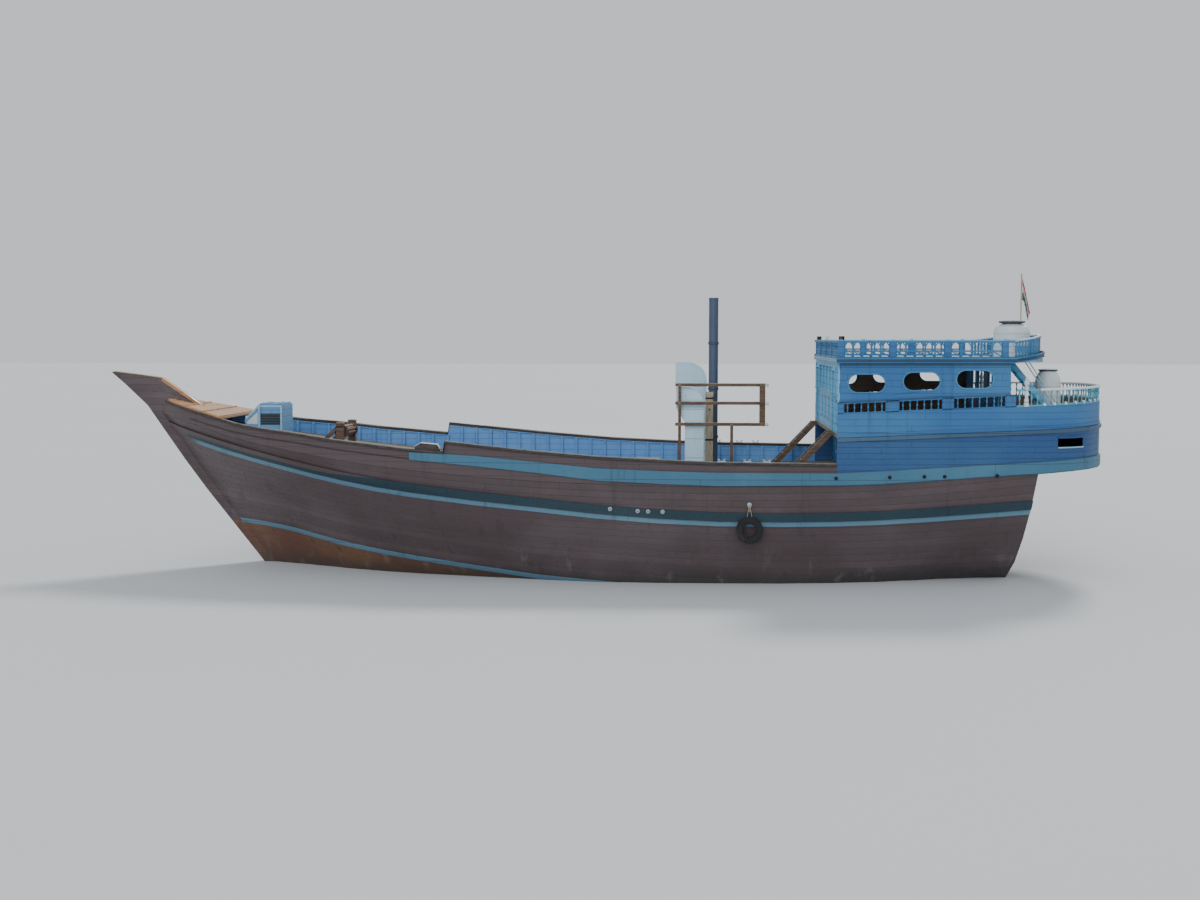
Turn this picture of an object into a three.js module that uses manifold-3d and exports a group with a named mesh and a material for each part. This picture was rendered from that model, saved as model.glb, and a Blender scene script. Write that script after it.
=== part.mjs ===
// A wooden motor dhow afloat: hull, raised poop with a wheelhouse and a stern gallery, and deck gear.
// Millimetres. +X is to the bow, +Y to port and +Z up. The origin is amidships at the waterline.
import * as THREE from "three";
import { mergeVertices } from "three/addons/utils/BufferGeometryUtils.js";
import Module from "manifold-3d";

const wasm = await Module();
wasm.setup();

// Gap between pieces that touch.
const GAP = 0.3;

// Keel, stem and hull shell.
const KEEL_HALF = 130;
const KEEL_BOTTOM = -2350;
const RABBET_INSET = 380;
const TRANSOM_AT_WATER = -13140;
const TRANSOM_RAKE = 0.167;
const BOW_RAKE_FROM = 8000;
const STERN_RAKE_FROM = -10000;
const STRIPE_HALF = 85;
const STRIPE_PROUD = 28;
const WALE_HEIGHT = 290;
const WALE_PROUD = 90;
const BAND_PROUD = 55;
const DECK_PLANK = 60;
const WALL = 120;
const CAP_THICK = 95;
const CAP_OUT = 70;
const CAP_IN = 150;
const BULWARK_BOW = 16480;
const CAP_BOW = 16350;

// Rising lines and plan shapes. Columns: x, value.
const HALF_BREADTH = [
  [-13900, 3740], [-13000, 3850], [-8000, 4350], [-3000, 4550], [2000, 4500], [6000, 4250],
  [9000, 3800], [12000, 2950], [14000, 2120], [15100, 1520], [15900, 920], [16650, 150],
];
const SHEER = [
  [-16700, 3960], [-15250, 3930], [-13740, 3835], [-12000, 3660], [-8800, 3400], [-7200, 3330],
  [-3000, 3270], [1000, 3340], [5000, 3560], [9000, 3960], [13000, 4600], [15000, 5060], [16650, 5430],
];
const KEEL_LINE = [
  [-13900, -450], [-12000, -650], [-10800, -900], [-9000, -1400], [-7000, -1780], [-4000, -1900],
  [0, -1920], [8000, -1880], [11200, -1820],
];
const LOW_STRIPE = [
  [-13900, -280], [-9000, -420], [-5000, -360], [460, -40], [2670, 110], [5040, 390],
  [7800, 730], [9730, 1000], [12300, 1430], [14100, 1540],
];
const MID_STRIPE = [
  [-13900, 2450], [-10000, 2180], [-7000, 2060], [-3000, 2070], [430, 2270], [2620, 2480],
  [5850, 2780], [8640, 3130], [11650, 3670], [15070, 4420], [16300, 4690],
];
const BAND_LOW = [
  [-16700, 3800], [-15250, 3790], [-12030, 3600], [-8820, 3380], [-7450, 3330], [-3150, 3290],
  [410, 3430], [2600, 3690], [4070, 3840], [6800, 4070],
];
const BAND_HIGH = [
  [-16700, 4160], [-15250, 4150], [-12030, 3970], [-8820, 3800], [-7450, 3720], [-3150, 3730],
  [410, 3840], [2600, 4050], [4070, 4205], [6800, 4320],
];
const RAIL_AFT = [[-7200, 4040], [-3150, 4080], [410, 4240], [3180, 4460]];
const RAIL_FORE = [
  [6990, 4450], [8740, 4640], [9740, 4730], [11100, 4930], [12810, 5090], [14430, 5440], [15500, 5680],
  [16600, 5930],
];
const RAIL_TOP = [...RAIL_AFT, [5600, 4710], [5660, 4370], ...RAIL_FORE];
// The starboard rail steps down farther forward.
const RAIL_STEP = [[6840, 4838], [6900, 4445]];
const MOULDING = [[-16700, 5280], [-7200, 4920]];
const POOP_RAIL = [[-16700, 5995], [-7200, 5630]];
const GALLERY_RAIL = [[-16700, 6510], [-12900, 6430]];
const PANEL_LOW = [[-12800, 6250], [-7200, 5990]];

// Height and x of the stem's outer edge, from the forefoot to the head.
const STEM_EDGE = [
  [-1850, 11500], [-850, 12300], [160, 13060], [1690, 14270], [2600, 14990], [3700, 15800],
  [4670, 16470], [5660, 17150], [6410, 17940], [6860, 18460],
];
const STEM_KNEE = [16640, 6640];
const STEM_FOOT = [15110, 5615];

// Shape of the hull's sections: x, bilge power, side power.
const SECTION = [
  [-13900, 2.3, 0.43], [-10800, 2.05, 0.49], [-5500, 2.45, 0.41], [0, 2.5, 0.4], [3300, 1.85, 0.54],
  [7600, 1.4, 0.71], [9700, 1.1, 0.91], [11400, 1, 1.4], [13000, 1, 1.15], [15000, 1, 1], [16700, 1, 1],
];

// Poop, wheelhouse and roof.
const POOP_FRONT = -7200;
const PLAN_TURN = -13000;
const STERN_TIP = -16450;
const PLAN_POWER = 2.3;
const PLAN_ANGLES = [15, 30, 45, 60, 72, 84];
const HULL_STATIONS = [
  -13000, -11500, -10000, -8600, POOP_FRONT, -5400, -3400, -1400, 600, 2600, 4600, 6800,
  8000, 9400, 10800, 12200, 13300, 14300, 15100, 15900,
];
const POOP_DOOR_TALL = 1230;
const MOULD_HALF = 60;
const MOULD_DROP = 125;
const MOULD_PROUD = 65;
const POOP_WALL = 90;
const COUNTER_THICK = 110;
const HOUSE_AFT = -12800;
const HOUSE_HALF_FORE = 4340;
const HOUSE_HALF_AFT = 3830;
const HOUSE_WALL = 70;
const HOUSE_TOP = 7290;
const ROOF_TOP = 7420;
const ROOF_FRONT = -7150;
const ROOF_TURN = -12900;
const ROOF_TIP = -14300;
const ROOF_RAIL = 8010;
const ROOF_RAIL_RISE = 220;
const FASCIA = { low: 7270, high: 7440 };
const WINDOWS = [[-8150, 6620], [-9920, 6685], [-11640, 6750]];
const WINDOW_LONG = 1200;
const WINDOW_TALL = 580;

// Heights and plan of the wheelhouse openings.
const FRONT = { x: POOP_FRONT - 70, gate: [2650, 3500], gateTop: 7000, sill: 6280, head: 7120 };
const FRONT_WINDOWS = [[-3900, 230], [-1900, 520], [-640, 520], [640, 520], [1900, 520], [3900, 230]];
const AFT = { x: HOUSE_AFT + 5, gate: [1900, 2700], gateTop: 7050, sill: 6200, head: 6900 };
const AFT_WINDOWS = [[-950, 600], [950, 600]];
const FREEING_PORT = { x0: -15340, x1: -14400, z0: 4520, z1: 4850 };
const BULKHEAD = { x: POOP_FRONT - 650, thick: 60, door: 420, windowAt: 2300, windowHalf: 450 };

// Open rails: offsets from the path, rail height, spacing and width of the bars.
const SIDE_RAIL = { inner: -95, outer: -20, rail: 45, pitch: 420, bar: 50 };
const STERN_RAIL = { inner: -95, outer: -15, rail: 70, pitch: 400, bar: 55 };
const TOP_RAIL = { inner: -150, outer: -60, rail: 60, pitch: 520, bar: 60 };
const TOP_RAIL_INSET = 80;
// Solid parts of the open strip under the wheelhouse's side. Columns: aft x, fore x.
const SIDE_POSTS = [[-12980, -12630], [-10970, -10580], [-9200, -8750], [-7420, -7210]];

// Running gear.
const SHAFT_Z = -1480;
const SHAFT_R = 60;
const PROPELLER_X = -11330;
const PROPELLER_R = 540;
const PROPELLER_PITCH = 32;
const BLADE_OUTLINE = [
  [-70, 60], [-175, 280], [-150, 460], [0, PROPELLER_R], [150, 460], [175, 280], [70, 60],
];
const APERTURE = { fore: PROPELLER_X + 330, aft: PROPELLER_X - 330, top: -720, bottom: -2110 };
const BOSS_R = 120;
const HEEL_TOP = KEEL_BOTTOM + 150;
const HEEL_AFT = -13050;
const STERNPOST_AFT = -11990;
const RUDDER_X = -12080;
const RUDDER_TOP = -810;
const RUDDER_LOW = HEEL_TOP + 40;
const RUDDER_HALF = 45;
const STOCK_R = 70;
const PINTLE_R = 40;
const ROUND = 24;

// Deck gear.
const STACK = { x: -3260, radius: 165, top: 9490, foot: 260, footTall: 70 };
const SAMSON = { x0: -3250, x1: -2990, y0: 440, y1: 700, top: 6200 };
const COWL_PORT = { x0: -2920, x1: -1990, y0: 1150, y1: 1900, top: 6410, mouth: 700, neck: 290 };
const COWL_STARBOARD = { x0: -3030, x1: -1930, y0: -1980, y1: -970, top: 7200, mouth: 800, neck: 340 };
const COWL_PLATE = 45;
const COWL_CHIN = 450;
const RACK = { aft: -5050, fore: -1950, y: 1980, bar: 90, heights: [6490, 5870, 5150] };
const RACK_POSTS = [[-2100, 6490], [-3870, 5150]];
const RACK_END = { x: -4900, half: 100 };
const HATCH = { aft: -1300, fore: 3000, half: 1750, top: 3610, boards: 80, lip: 60 };
const PLATFORM = { aft: 13700, fore: 16200, thick: 75 };
const WINDLASS = { x: 9900, axle: 620, pin: 45, post: 130, postTop: 900, inner: 800, outer: 1010 };
const DRUM = { radius: 190, flange: 245, flangeHalf: 20, half: 785 };
const COMPANION = { aft: 12050, half: 700, wall: 130 };
const COMPANION_TOP = [12900, 5700];
const COMPANION_FOOT = [13400, 5180];
const LID = { hinge: 12880, long: 790, wide: 1300, thick: 45 };
const HELM_X = -8350;
const PEDESTAL = { long: 300, half: 220, tall: 900 };
const WHEEL = { x: HELM_X - 90, axle: 780, ring: 330, grip: 22, spoke: 16, reach: 430, hub: 60 };
const DOOR = { half: 414, thick: 45, proud: 2, clear: 8, hingeY: 430, knuckle: 11, strap: 70 };
const STRAPS_AT = [250, 950];
const LADDER_CHEEK = { thick: 45, half: 110 };
const TREAD = { half: 95, thick: 36 };
const DECK_LADDER = { y: 3080, width: 760, foot: -5560, treads: 6 };
const AFT_LADDER = { y: 2300, width: 640, top: -12930, foot: -14700, treads: 7 };
const ROOF_TANK = { x: -13350, y: 1200, radius: 600, tall: 1180, lid: 230 };
const GALLERY_TANK = { x: -14540, y: 1400, radius: 430, tall: 1700, lid: 260 };
const STAFF = { x: -13900, radius: 25, top: 10300 };
const FLAG = { long: 340, half: 90, low: 8700, high: 10200 };
const TYRE = { x: -4400, z: 1880, hole: 215, back: 400, radius: 430, half: 95 };

const paint = {
  hull: { color: 0x4a3030, roughness: 0.75, metalness: 0 },
  bottom: { color: 0x8a4a26, roughness: 0.8, metalness: 0 },
  stripe: { color: 0x6f93ad, roughness: 0.6, metalness: 0 },
  wale: { color: 0x2b3440, roughness: 0.7, metalness: 0 },
  band: { color: 0x4aa3c8, roughness: 0.5, metalness: 0 },
  navy: { color: 0x2a62b0, roughness: 0.5, metalness: 0 },
  royal: { color: 0x3d83d6, roughness: 0.5, metalness: 0 },
  light: { color: 0x7cc4e6, roughness: 0.5, metalness: 0 },
  white: { color: 0xdfe8ea, roughness: 0.5, metalness: 0 },
  deck: { color: 0x8d7b66, roughness: 0.85, metalness: 0 },
  varnish: { color: 0xc77a34, roughness: 0.4, metalness: 0 },
  dark: { color: 0x2c2724, roughness: 0.8, metalness: 0 },
  aqua: { color: 0x9fd0cc, roughness: 0.6, metalness: 0 },
  pale: { color: 0xcdbb98, roughness: 0.8, metalness: 0 },
  brown: { color: 0x6a4a33, roughness: 0.8, metalness: 0 },
  black: { color: 0x16171a, roughness: 0.5, metalness: 0.4 },
  bronze: { color: 0x9b7a3c, roughness: 0.35, metalness: 0.9 },
  rubber: { color: 0x1b1b1c, roughness: 0.9, metalness: 0 },
  cloth: { color: 0x2f7a4a, roughness: 0.9, metalness: 0 },
};

// Value at x on the straight lines between a table's rows.
function line(table, x, column = 1) {
  const last = table.length - 2;
  let i = table.findIndex((row) => row[0] > x) - 1;
  if (i < 0) i = x < table[0][0] ? 0 : last;
  i = Math.min(i, last);
  const share = (x - table[i][0]) / (table[i + 1][0] - table[i][0]);
  return table[i][column] + share * (table[i + 1][column] - table[i][column]);
}

// Value at x on a smooth curve through a table's rows.
function curve(table, x) {
  const slope = (i) => {
    const a = table[Math.max(i - 1, 0)];
    const b = table[Math.min(i + 1, table.length - 1)];
    return (b[1] - a[1]) / (b[0] - a[0]);
  };
  let i = table.findIndex((row) => row[0] > x) - 1;
  if (i < 0) return line(table, x);
  const [x0, y0] = table[i];
  const [x1, y1] = table[i + 1];
  const span = x1 - x0;
  const t = (x - x0) / span;
  const s = 1 - t;
  return (
    y0 * (1 + 2 * t) * s * s + y1 * (3 - 2 * t) * t * t
    + span * (slope(i) * t * s * s - slope(i + 1) * t * t * s)
  );
}

const rabbetX = (z) => line(STEM_EDGE, z) - RABBET_INSET;
const transomX = (z) => TRANSOM_AT_WATER - TRANSOM_RAKE * z;
const swapped = (table) => table.map(([a, b]) => [b, a]);
const rabbetZ = (x) => line(swapped(STEM_EDGE), x + RABBET_INSET);

// The x at which a sloping line such as the sheer meets the stem's rabbet or the transom.
function meeting(table, endX) {
  let x = endX(curve(table, 0));
  for (let i = 0; i < 40; i++) x = (x + endX(curve(table, x))) / 2;
  return x;
}

const BOW_END = meeting(SHEER, rabbetX);
const STERN_END = meeting(SHEER, transomX);
const STATIONS = [STERN_END, ...HULL_STATIONS, BOW_END];

// Port half of the poop's plan, from its front to the stern. Columns: x, y.
function superEllipse(x0, y0, length, angles, power) {
  return angles.map((degrees) => {
    const a = THREE.MathUtils.degToRad(degrees);
    return [x0 - length * Math.sin(a) ** (2 / power), y0 * Math.cos(a) ** (2 / power)];
  });
}
const SIDE_LINE = STATIONS.map((x) => [x, curve(HALF_BREADTH, x)]);
const side = (x) => line(SIDE_LINE, x);
const POOP_STATIONS = HULL_STATIONS.filter((x) => x <= POOP_FRONT).reverse();
const TRANSOM_SHARE = (PLAN_TURN - STERN_END) / (PLAN_TURN - STERN_TIP);
const POOP_PLAN = [
  ...POOP_STATIONS.map((x) => [x, side(x)]),
  [STERN_END, side(PLAN_TURN) * (1 - TRANSOM_SHARE ** PLAN_POWER) ** (1 / PLAN_POWER)],
  ...superEllipse(PLAN_TURN, side(PLAN_TURN), PLAN_TURN - STERN_TIP, PLAN_ANGLES, PLAN_POWER),
];
const ROOF_PLAN = [
  [ROOF_FRONT, HOUSE_HALF_FORE + 110],
  [ROOF_TURN, HOUSE_HALF_AFT + 110],
  ...superEllipse(ROOF_TURN, HOUSE_HALF_AFT + 110, ROOF_TURN - ROOF_TIP, [25, 50, 70, 84], 2.6),
];
const poopHalf = (x) => line([...POOP_PLAN].reverse(), x);
const roofHalf = (x) => line([...ROOF_PLAN].reverse(), x);

// Deck edge, straight between the hull's stations and aft of them, which every piece on the deck follows.
const LINE_XS = [POOP_PLAN[POOP_PLAN.length - 1][0], ...HULL_STATIONS, BOW_END];
const SHEER_LINE = LINE_XS.map((x) => [x, curve(SHEER, x)]);
const sheer = (x) => line(SHEER_LINE, x);
const deckTop = (x) => sheer(x) + GAP + DECK_PLANK;
const spanning = (x0, x1) => [x0, ...LINE_XS.filter((x) => x > x0 + 1 && x < x1 - 1), x1];

const point = (x, y, z) => new THREE.Vector3(x, y, z);

// Turns a closed geometry's faces outward and leaves it with position and normal only.
function outward(geometry) {
  const bare = new THREE.BufferGeometry().setAttribute("position", geometry.getAttribute("position"));
  if (geometry.index) bare.setIndex(geometry.index);
  const merged = mergeVertices(bare, 1e-3);
  const index = Array.from(merged.index.array);
  const at = (i) => new THREE.Vector3().fromBufferAttribute(merged.attributes.position, i);
  let volume = 0;
  for (let i = 0; i < index.length; i += 3) {
    volume += at(index[i]).dot(at(index[i + 1]).cross(at(index[i + 2])));
  }
  merged.setIndex(volume < 0 ? index.reverse() : index);
  merged.computeVertexNormals();
  return merged;
}

// A closed body through rings of as many points each. Each quad is split from its lower corner on
// one ring to its upper corner on the next, so that planks laid on the hull share its facets.
function loft(rings) {
  const n = rings[0].length;
  const faces = [];
  for (let i = 0; i + 1 < rings.length; i++) {
    for (let k = 0; k < n; k++) {
      const next = (k + 1) % n;
      const a = i * n + k;
      const b = i * n + next;
      const c = b + n;
      const d = a + n;
      if (rings[i][k].z <= rings[i][next].z) faces.push(a, b, c, a, c, d);
      else faces.push(a, b, d, b, c, d);
    }
  }
  const last = (rings.length - 1) * n;
  for (let k = 0; k < n - 2 - k; k++) {
    const m = n - 1 - k;
    faces.push(k, m, k + 1, last + k, last + k + 1, last + m);
    if (k + 1 < m - 1) faces.push(k + 1, m, m - 1, last + k + 1, last + m - 1, last + m);
  }
  const positions = rings.flat().flatMap((p) => [p.x, p.y, p.z]);
  const geometry = new THREE.BufferGeometry();
  geometry.setAttribute("position", new THREE.Float32BufferAttribute(positions, 3));
  geometry.setIndex(faces);
  return outward(geometry);
}

const mirrored = (geometry) => outward(geometry.clone().scale(1, -1, 1));

function solid(geometry) {
  const closed = outward(geometry);
  return new wasm.Manifold(
    new wasm.Mesh({
      numProp: 3,
      vertProperties: closed.attributes.position.array,
      triVerts: new Uint32Array(closed.index.array),
    }),
  );
}

function fromSolid(made) {
  const mesh = made.getMesh();
  const geometry = new THREE.BufferGeometry();
  geometry.setAttribute("position", new THREE.Float32BufferAttribute(mesh.vertProperties, 3));
  geometry.setIndex(Array.from(mesh.triVerts));
  return outward(geometry);
}

const join = (geometries) => fromSolid(geometries.map(solid).reduce((a, b) => a.add(b)));
const cut = (geometry, tools) => fromSolid(tools.map(solid).reduce((a, b) => a.subtract(b), solid(geometry)));

function box(x0, x1, y0, y1, z0, z1) {
  const geometry = new THREE.BoxGeometry(x1 - x0, y1 - y0, z1 - z0);
  return outward(geometry.translate((x0 + x1) / 2, (y0 + y1) / 2, (z0 + z1) / 2));
}

// A round bar between two points.
function rod(radius, from, to, sides = 12, endRadius = radius) {
  const along = to.clone().sub(from);
  const geometry = new THREE.CylinderGeometry(endRadius, radius, along.length(), sides);
  const turn = new THREE.Quaternion().setFromUnitVectors(point(0, 1, 0), along.normalize());
  return outward(geometry.applyQuaternion(turn).translate(...from.clone().add(to).multiplyScalar(0.5)));
}

// A flat plate: an outline with holes in a plane, given thickness along the plane's normal.
function plate(outline, holes, thickness, origin, across, up) {
  const extruded = (shape, from, depth) =>
    new THREE.ExtrudeGeometry(shape, { depth, bevelEnabled: false, curveSegments: 6 }).translate(0, 0, from);
  const blank = extruded(new THREE.Shape(outline.map(([a, b]) => new THREE.Vector2(a, b))), 0, thickness);
  const cutters = holes.map((hole) =>
    extruded(new THREE.Shape(hole.getPoints(6)), -thickness, 3 * thickness));
  const basis = new THREE.Matrix4().makeBasis(across, up, across.clone().cross(up));
  return cut(blank, cutters).applyMatrix4(basis.setPosition(origin));
}
const plateXZ = (outline, y0, y1) =>
  plate(outline, [], y1 - y0, point(0, y1, 0), point(1, 0, 0), point(0, 0, 1));
const plateYZ = (outline, holes, x0, thickness) =>
  plate(outline, holes, thickness, point(x0, 0, 0), point(0, 1, 0), point(0, 0, 1));

function rectangle(a0, a1, b0, b1) {
  const corners = [[a0, b0], [a1, b0], [a1, b1], [a0, b1]];
  return new THREE.Path(corners.map(([a, b]) => new THREE.Vector2(a, b)));
}

function stadium(a, b, long, tall) {
  const r = tall / 2;
  const reach = long / 2 - r;
  const path = new THREE.Path();
  path.absarc(a + reach, b, r, -Math.PI / 2, Math.PI / 2, false);
  path.absarc(a - reach, b, r, Math.PI / 2, Math.PI * 1.5, false);
  return path;
}

// A slab symmetric about the centreline, between two heights that vary along x.
function slab(xs, half, low, high) {
  return loft(xs.map((x) => {
    const y = half(x);
    return [point(x, -y, low(x)), point(x, -y, high(x)), point(x, y, high(x)), point(x, y, low(x))];
  }));
}

// A block that stands on the deck and follows its slope below.
function onDeck(x0, x1, y0, y1, top) {
  return loft(spanning(x0, x1).map((x) => {
    const low = deckTop(x) + GAP;
    return [point(x, y0, low), point(x, y0, top), point(x, y1, top), point(x, y1, low)];
  }));
}

// Port path with its starboard mirror image, as a list of corners with unit outward normals.
// The sides keep their normals across the boat, so that both faces of a wall lie on one station.
function horseshoe(plan) {
  const path = withNormals([...plan, ...[...plan].reverse().map(([x, y]) => [x, -y])]);
  return path.map((p) => (p.x >= PLAN_TURN ? { ...p, nx: 0, ny: Math.sign(p.y) } : p));
}

function withNormals(path) {
  return path.map(([x, y], i) => {
    const [ax, ay] = path[Math.max(i - 1, 0)];
    const [bx, by] = path[Math.min(i + 1, path.length - 1)];
    const length = Math.hypot(bx - ax, by - ay);
    return { x, y, nx: (by - ay) / length, ny: -(bx - ax) / length };
  });
}

// A wall along a path, between two offsets from it (outward is positive) and two heights.
function wall(path, inner, outer, low, high) {
  return loft(path.map(({ x, y, nx, ny }) => {
    const corner = (offset, height) => point(x + nx * offset, y + ny * offset, height(x + nx * offset));
    return [corner(outer, low), corner(outer, high), corner(inner, high), corner(inner, low)];
  }));
}

// An open rail: a lower and an upper rail along a path with upright bars between them.
function fence(path, { inner, outer, low, high, rail, pitch, bar }) {
  const middle = (inner + outer) / 2;
  const bars = [];
  for (let i = 0; i + 1 < path.length; i++) {
    const a = path[i];
    const b = path[i + 1];
    const length = Math.hypot(b.x - a.x, b.y - a.y);
    const count = Math.max(1, Math.round(length / pitch));
    const angle = Math.atan2(b.y - a.y, b.x - a.x);
    for (let k = 0; k < count; k++) {
      const share = (k + 0.5) / count;
      const mix = (key) => a[key] + (b[key] - a[key]) * share;
      const x = mix("x") + mix("nx") * middle;
      const z0 = low(x) + rail / 2;
      const z1 = high(x) - rail / 2;
      const geometry = new THREE.BoxGeometry(bar, bar, z1 - z0).rotateZ(angle);
      bars.push(geometry.translate(x, mix("y") + mix("ny") * middle, (z0 + z1) / 2));
    }
  }
  const rails = [
    wall(path, inner, outer, low, (x) => low(x) + rail),
    wall(path, inner, outer, (x) => high(x) - rail, high),
  ];
  return join([...rails, ...bars]);
}

// Rows of the hull's side from the keel to the deck edge, as heights at x.
const lowEdge = (x) => curve(LOW_STRIPE, x) - STRIPE_HALF;
const lowTop = (x) => curve(LOW_STRIPE, x) + STRIPE_HALF;
const midEdge = (x) => curve(MID_STRIPE, x) - STRIPE_HALF;
const midTop = (x) => curve(MID_STRIPE, x) + STRIPE_HALF;
const waleTop = (x) => midTop(x) + WALE_HEIGHT;
const keelLine = (x) => curve(KEEL_LINE, x);
const between = (share, low, high) => (x) => low(x) + share * (high(x) - low(x));
const ROWS = [
  keelLine,
  between(0.12, keelLine, lowEdge),
  between(0.38, keelLine, lowEdge),
  between(0.68, keelLine, lowEdge),
  lowEdge,
  lowTop,
  between(0.34, lowTop, midEdge),
  between(0.68, lowTop, midEdge),
  midEdge,
  midTop,
  waleTop,
  between(0.5, waleTop, sheer),
  sheer,
];
const LOW_STRIPE_ROW = 4;
const MID_STRIPE_ROW = 8;
const WALE_ROW = 9;

// Half-breadth of the hull at a height.
function hullHalf(x, z) {
  const bottom = x > rabbetX(KEEL_LINE.at(-1)[1]) ? rabbetZ(x) : keelLine(x);
  const depth = curve(SHEER, x) - bottom;
  if (depth < 1) return KEEL_HALF;
  const t = THREE.MathUtils.clamp((z - bottom) / depth, 0, 1);
  const shape = (1 - (1 - t) ** line(SECTION, x)) ** line(SECTION, x, 2);
  return KEEL_HALF + (curve(HALF_BREADTH, x) - KEEL_HALF) * shape;
}

// A station's x on a row, where the ends lean with the stem and the transom.
function leaning(nominal, z) {
  if (nominal > BOW_RAKE_FROM) {
    const share = (nominal - BOW_RAKE_FROM) / (BOW_END - BOW_RAKE_FROM);
    return BOW_RAKE_FROM + share * (rabbetX(z) - BOW_RAKE_FROM);
  }
  if (nominal < STERN_RAKE_FROM) {
    const share = (nominal - STERN_RAKE_FROM) / (STERN_END - STERN_RAKE_FROM);
    return STERN_RAKE_FROM + share * (transomX(z) - STERN_RAKE_FROM);
  }
  return nominal;
}

function gridPoint(nominal, row) {
  if (row === ROWS.length - 1) {
    const atEnd = nominal === BOW_END;
    return point(nominal, atEnd ? KEEL_HALF : side(nominal), sheer(nominal));
  }
  let x = nominal;
  for (let i = 0; i < 40; i++) x = (x + leaning(nominal, ROWS[row](x))) / 2;
  const z = ROWS[row](x);
  return point(x, row === 0 || nominal === BOW_END ? KEEL_HALF : hullHalf(x, z), z);
}

const GRID = STATIONS.map((nominal) => ROWS.map((_, row) => gridPoint(nominal, row)));

const hullBottom = (x) => line(GRID.map((rows) => [rows[0].x, rows[0].z]), x);

function hull() {
  return loft(GRID.map((rows) => {
    const starboard = [...rows].reverse().map((p) => point(p.x, -p.y, p.z));
    const top = rows[rows.length - 1];
    return [...rows, point(top.x, 0, top.z), ...starboard];
  }));
}

// A plank laid on the hull's port side between two neighbouring rows.
function strake(row, proud) {
  return loft(GRID.map((rows) => {
    const off = (p, distance) => point(p.x, p.y + distance, p.z);
    const low = rows[row];
    const high = rows[row + 1];
    return [off(low, GAP * 1.5), off(high, GAP * 1.5), off(high, proud), off(low, proud)];
  }));
}

function stem() {
  const rabbet = GRID.at(-1).map((p) => [p.x + GAP, p.z]);
  const top = rabbet.pop();
  const foot = STATIONS.filter((x) => x > STEM_FOOT[0] && x < BOW_END).reverse();
  const outline = [
    ...rabbet,
    [top[0] + GAP * 2, top[1] + GAP * 2],
    ...foot.map((x) => [x, sheer(x) + GAP * 2]),
    [STEM_FOOT[0], sheer(STEM_FOOT[0]) + GAP * 2],
    STEM_FOOT,
    STEM_KNEE,
    ...swapped(STEM_EDGE).reverse(),
  ];
  return plateXZ(outline, -KEEL_HALF, KEEL_HALF);
}

// Keel and deadwood with the propeller's aperture, the sternpost and the rudder's heel.
function keel() {
  const bottomLine = GRID.map((rows) => [rows[0].x, rows[0].z - GAP * 1.5]);
  const forefoot = [[STEM_EDGE[0][1], STEM_EDGE[0][0] - GAP * 2], [11100, -2200], [10600, KEEL_BOTTOM]];
  const heel = [
    [HEEL_AFT, KEEL_BOTTOM], [HEEL_AFT, HEEL_TOP], [STERNPOST_AFT, HEEL_TOP],
    [STERNPOST_AFT, hullBottom(STERNPOST_AFT) - GAP * 1.5],
  ];
  const aftOfPost = bottomLine.filter(([x]) => x > STERNPOST_AFT);
  const blank = plateXZ([...heel, ...aftOfPost, ...forefoot], -KEEL_HALF, KEEL_HALF);
  const { fore, aft, top, bottom } = APERTURE;
  const hole = box(aft, fore, -KEEL_HALF - 1, KEEL_HALF + 1, bottom, top);
  const boss = rod(BOSS_R, point(fore + 40, 0, SHAFT_Z), point(fore - 45, 0, SHAFT_Z), 16);
  const bore = rod(SHAFT_R + 1, point(fore + 60, 0, SHAFT_Z), point(fore - 90, 0, SHAFT_Z), ROUND);
  return cut(join([cut(blank, [hole]), boss]), [bore]);
}

// Four-bladed propeller with the end of its shaft, which turns in the stern boss.
function propeller() {
  const at = (x) => point(PROPELLER_X + x, 0, SHAFT_Z);
  const hub = rod(95, at(-150), at(150), 16, 80);
  const shaft = rod(SHAFT_R, at(140), at(322), ROUND);
  const thick = 24;
  const pitch = THREE.MathUtils.degToRad(PROPELLER_PITCH);
  const blades = [0, 1, 2, 3].map((k) => {
    const blade = plateYZ(BLADE_OUTLINE, [], -thick / 2, thick);
    return blade.rotateZ(pitch).rotateX(k * Math.PI / 2).translate(PROPELLER_X, 0, SHAFT_Z);
  });
  return join([hub, shaft, ...blades]);
}

function rudder() {
  const fore = RUDDER_X - 60;
  const outline = [
    [fore, RUDDER_LOW], [-13080, RUDDER_LOW + 120], [-13180, RUDDER_TOP - 150], [-13000, RUDDER_TOP],
    [fore, RUDDER_TOP],
  ];
  const at = (z) => point(RUDDER_X, 0, z);
  const blade = plateXZ(outline, -RUDDER_HALF, RUDDER_HALF);
  const web = box(RUDDER_X - 90, RUDDER_X, -RUDDER_HALF, RUDDER_HALF, RUDDER_LOW, RUDDER_TOP);
  const stock = rod(STOCK_R, at(RUDDER_LOW), at(hullBottom(RUDDER_X + STOCK_R) - 1), 16);
  const pintle = rod(PINTLE_R, at(RUDDER_LOW + 10), at(HEEL_TOP + GAP));
  return join([blade, web, stock, pintle]);
}

// Stations of the bulwark and of what lies on its top, with the corners of the rail's own line.
function railStations(rail, x0, x1) {
  const corners = rail.map(([x]) => x).filter((x) => x > x0 && x < x1);
  return [...new Set([...spanning(x0, x1), ...corners])].sort((a, b) => a - b);
}

function bulwark(rail) {
  return loft(railStations(rail, POOP_FRONT + GAP, BULWARK_BOW).map((x) => {
    const low = sheer(x) + GAP;
    const high = line(rail, x) - CAP_THICK;
    const outer = side(x);
    const inner = outer - WALL;
    return [point(x, outer, low), point(x, outer, high), point(x, inner, high), point(x, inner, low)];
  }));
}

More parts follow.
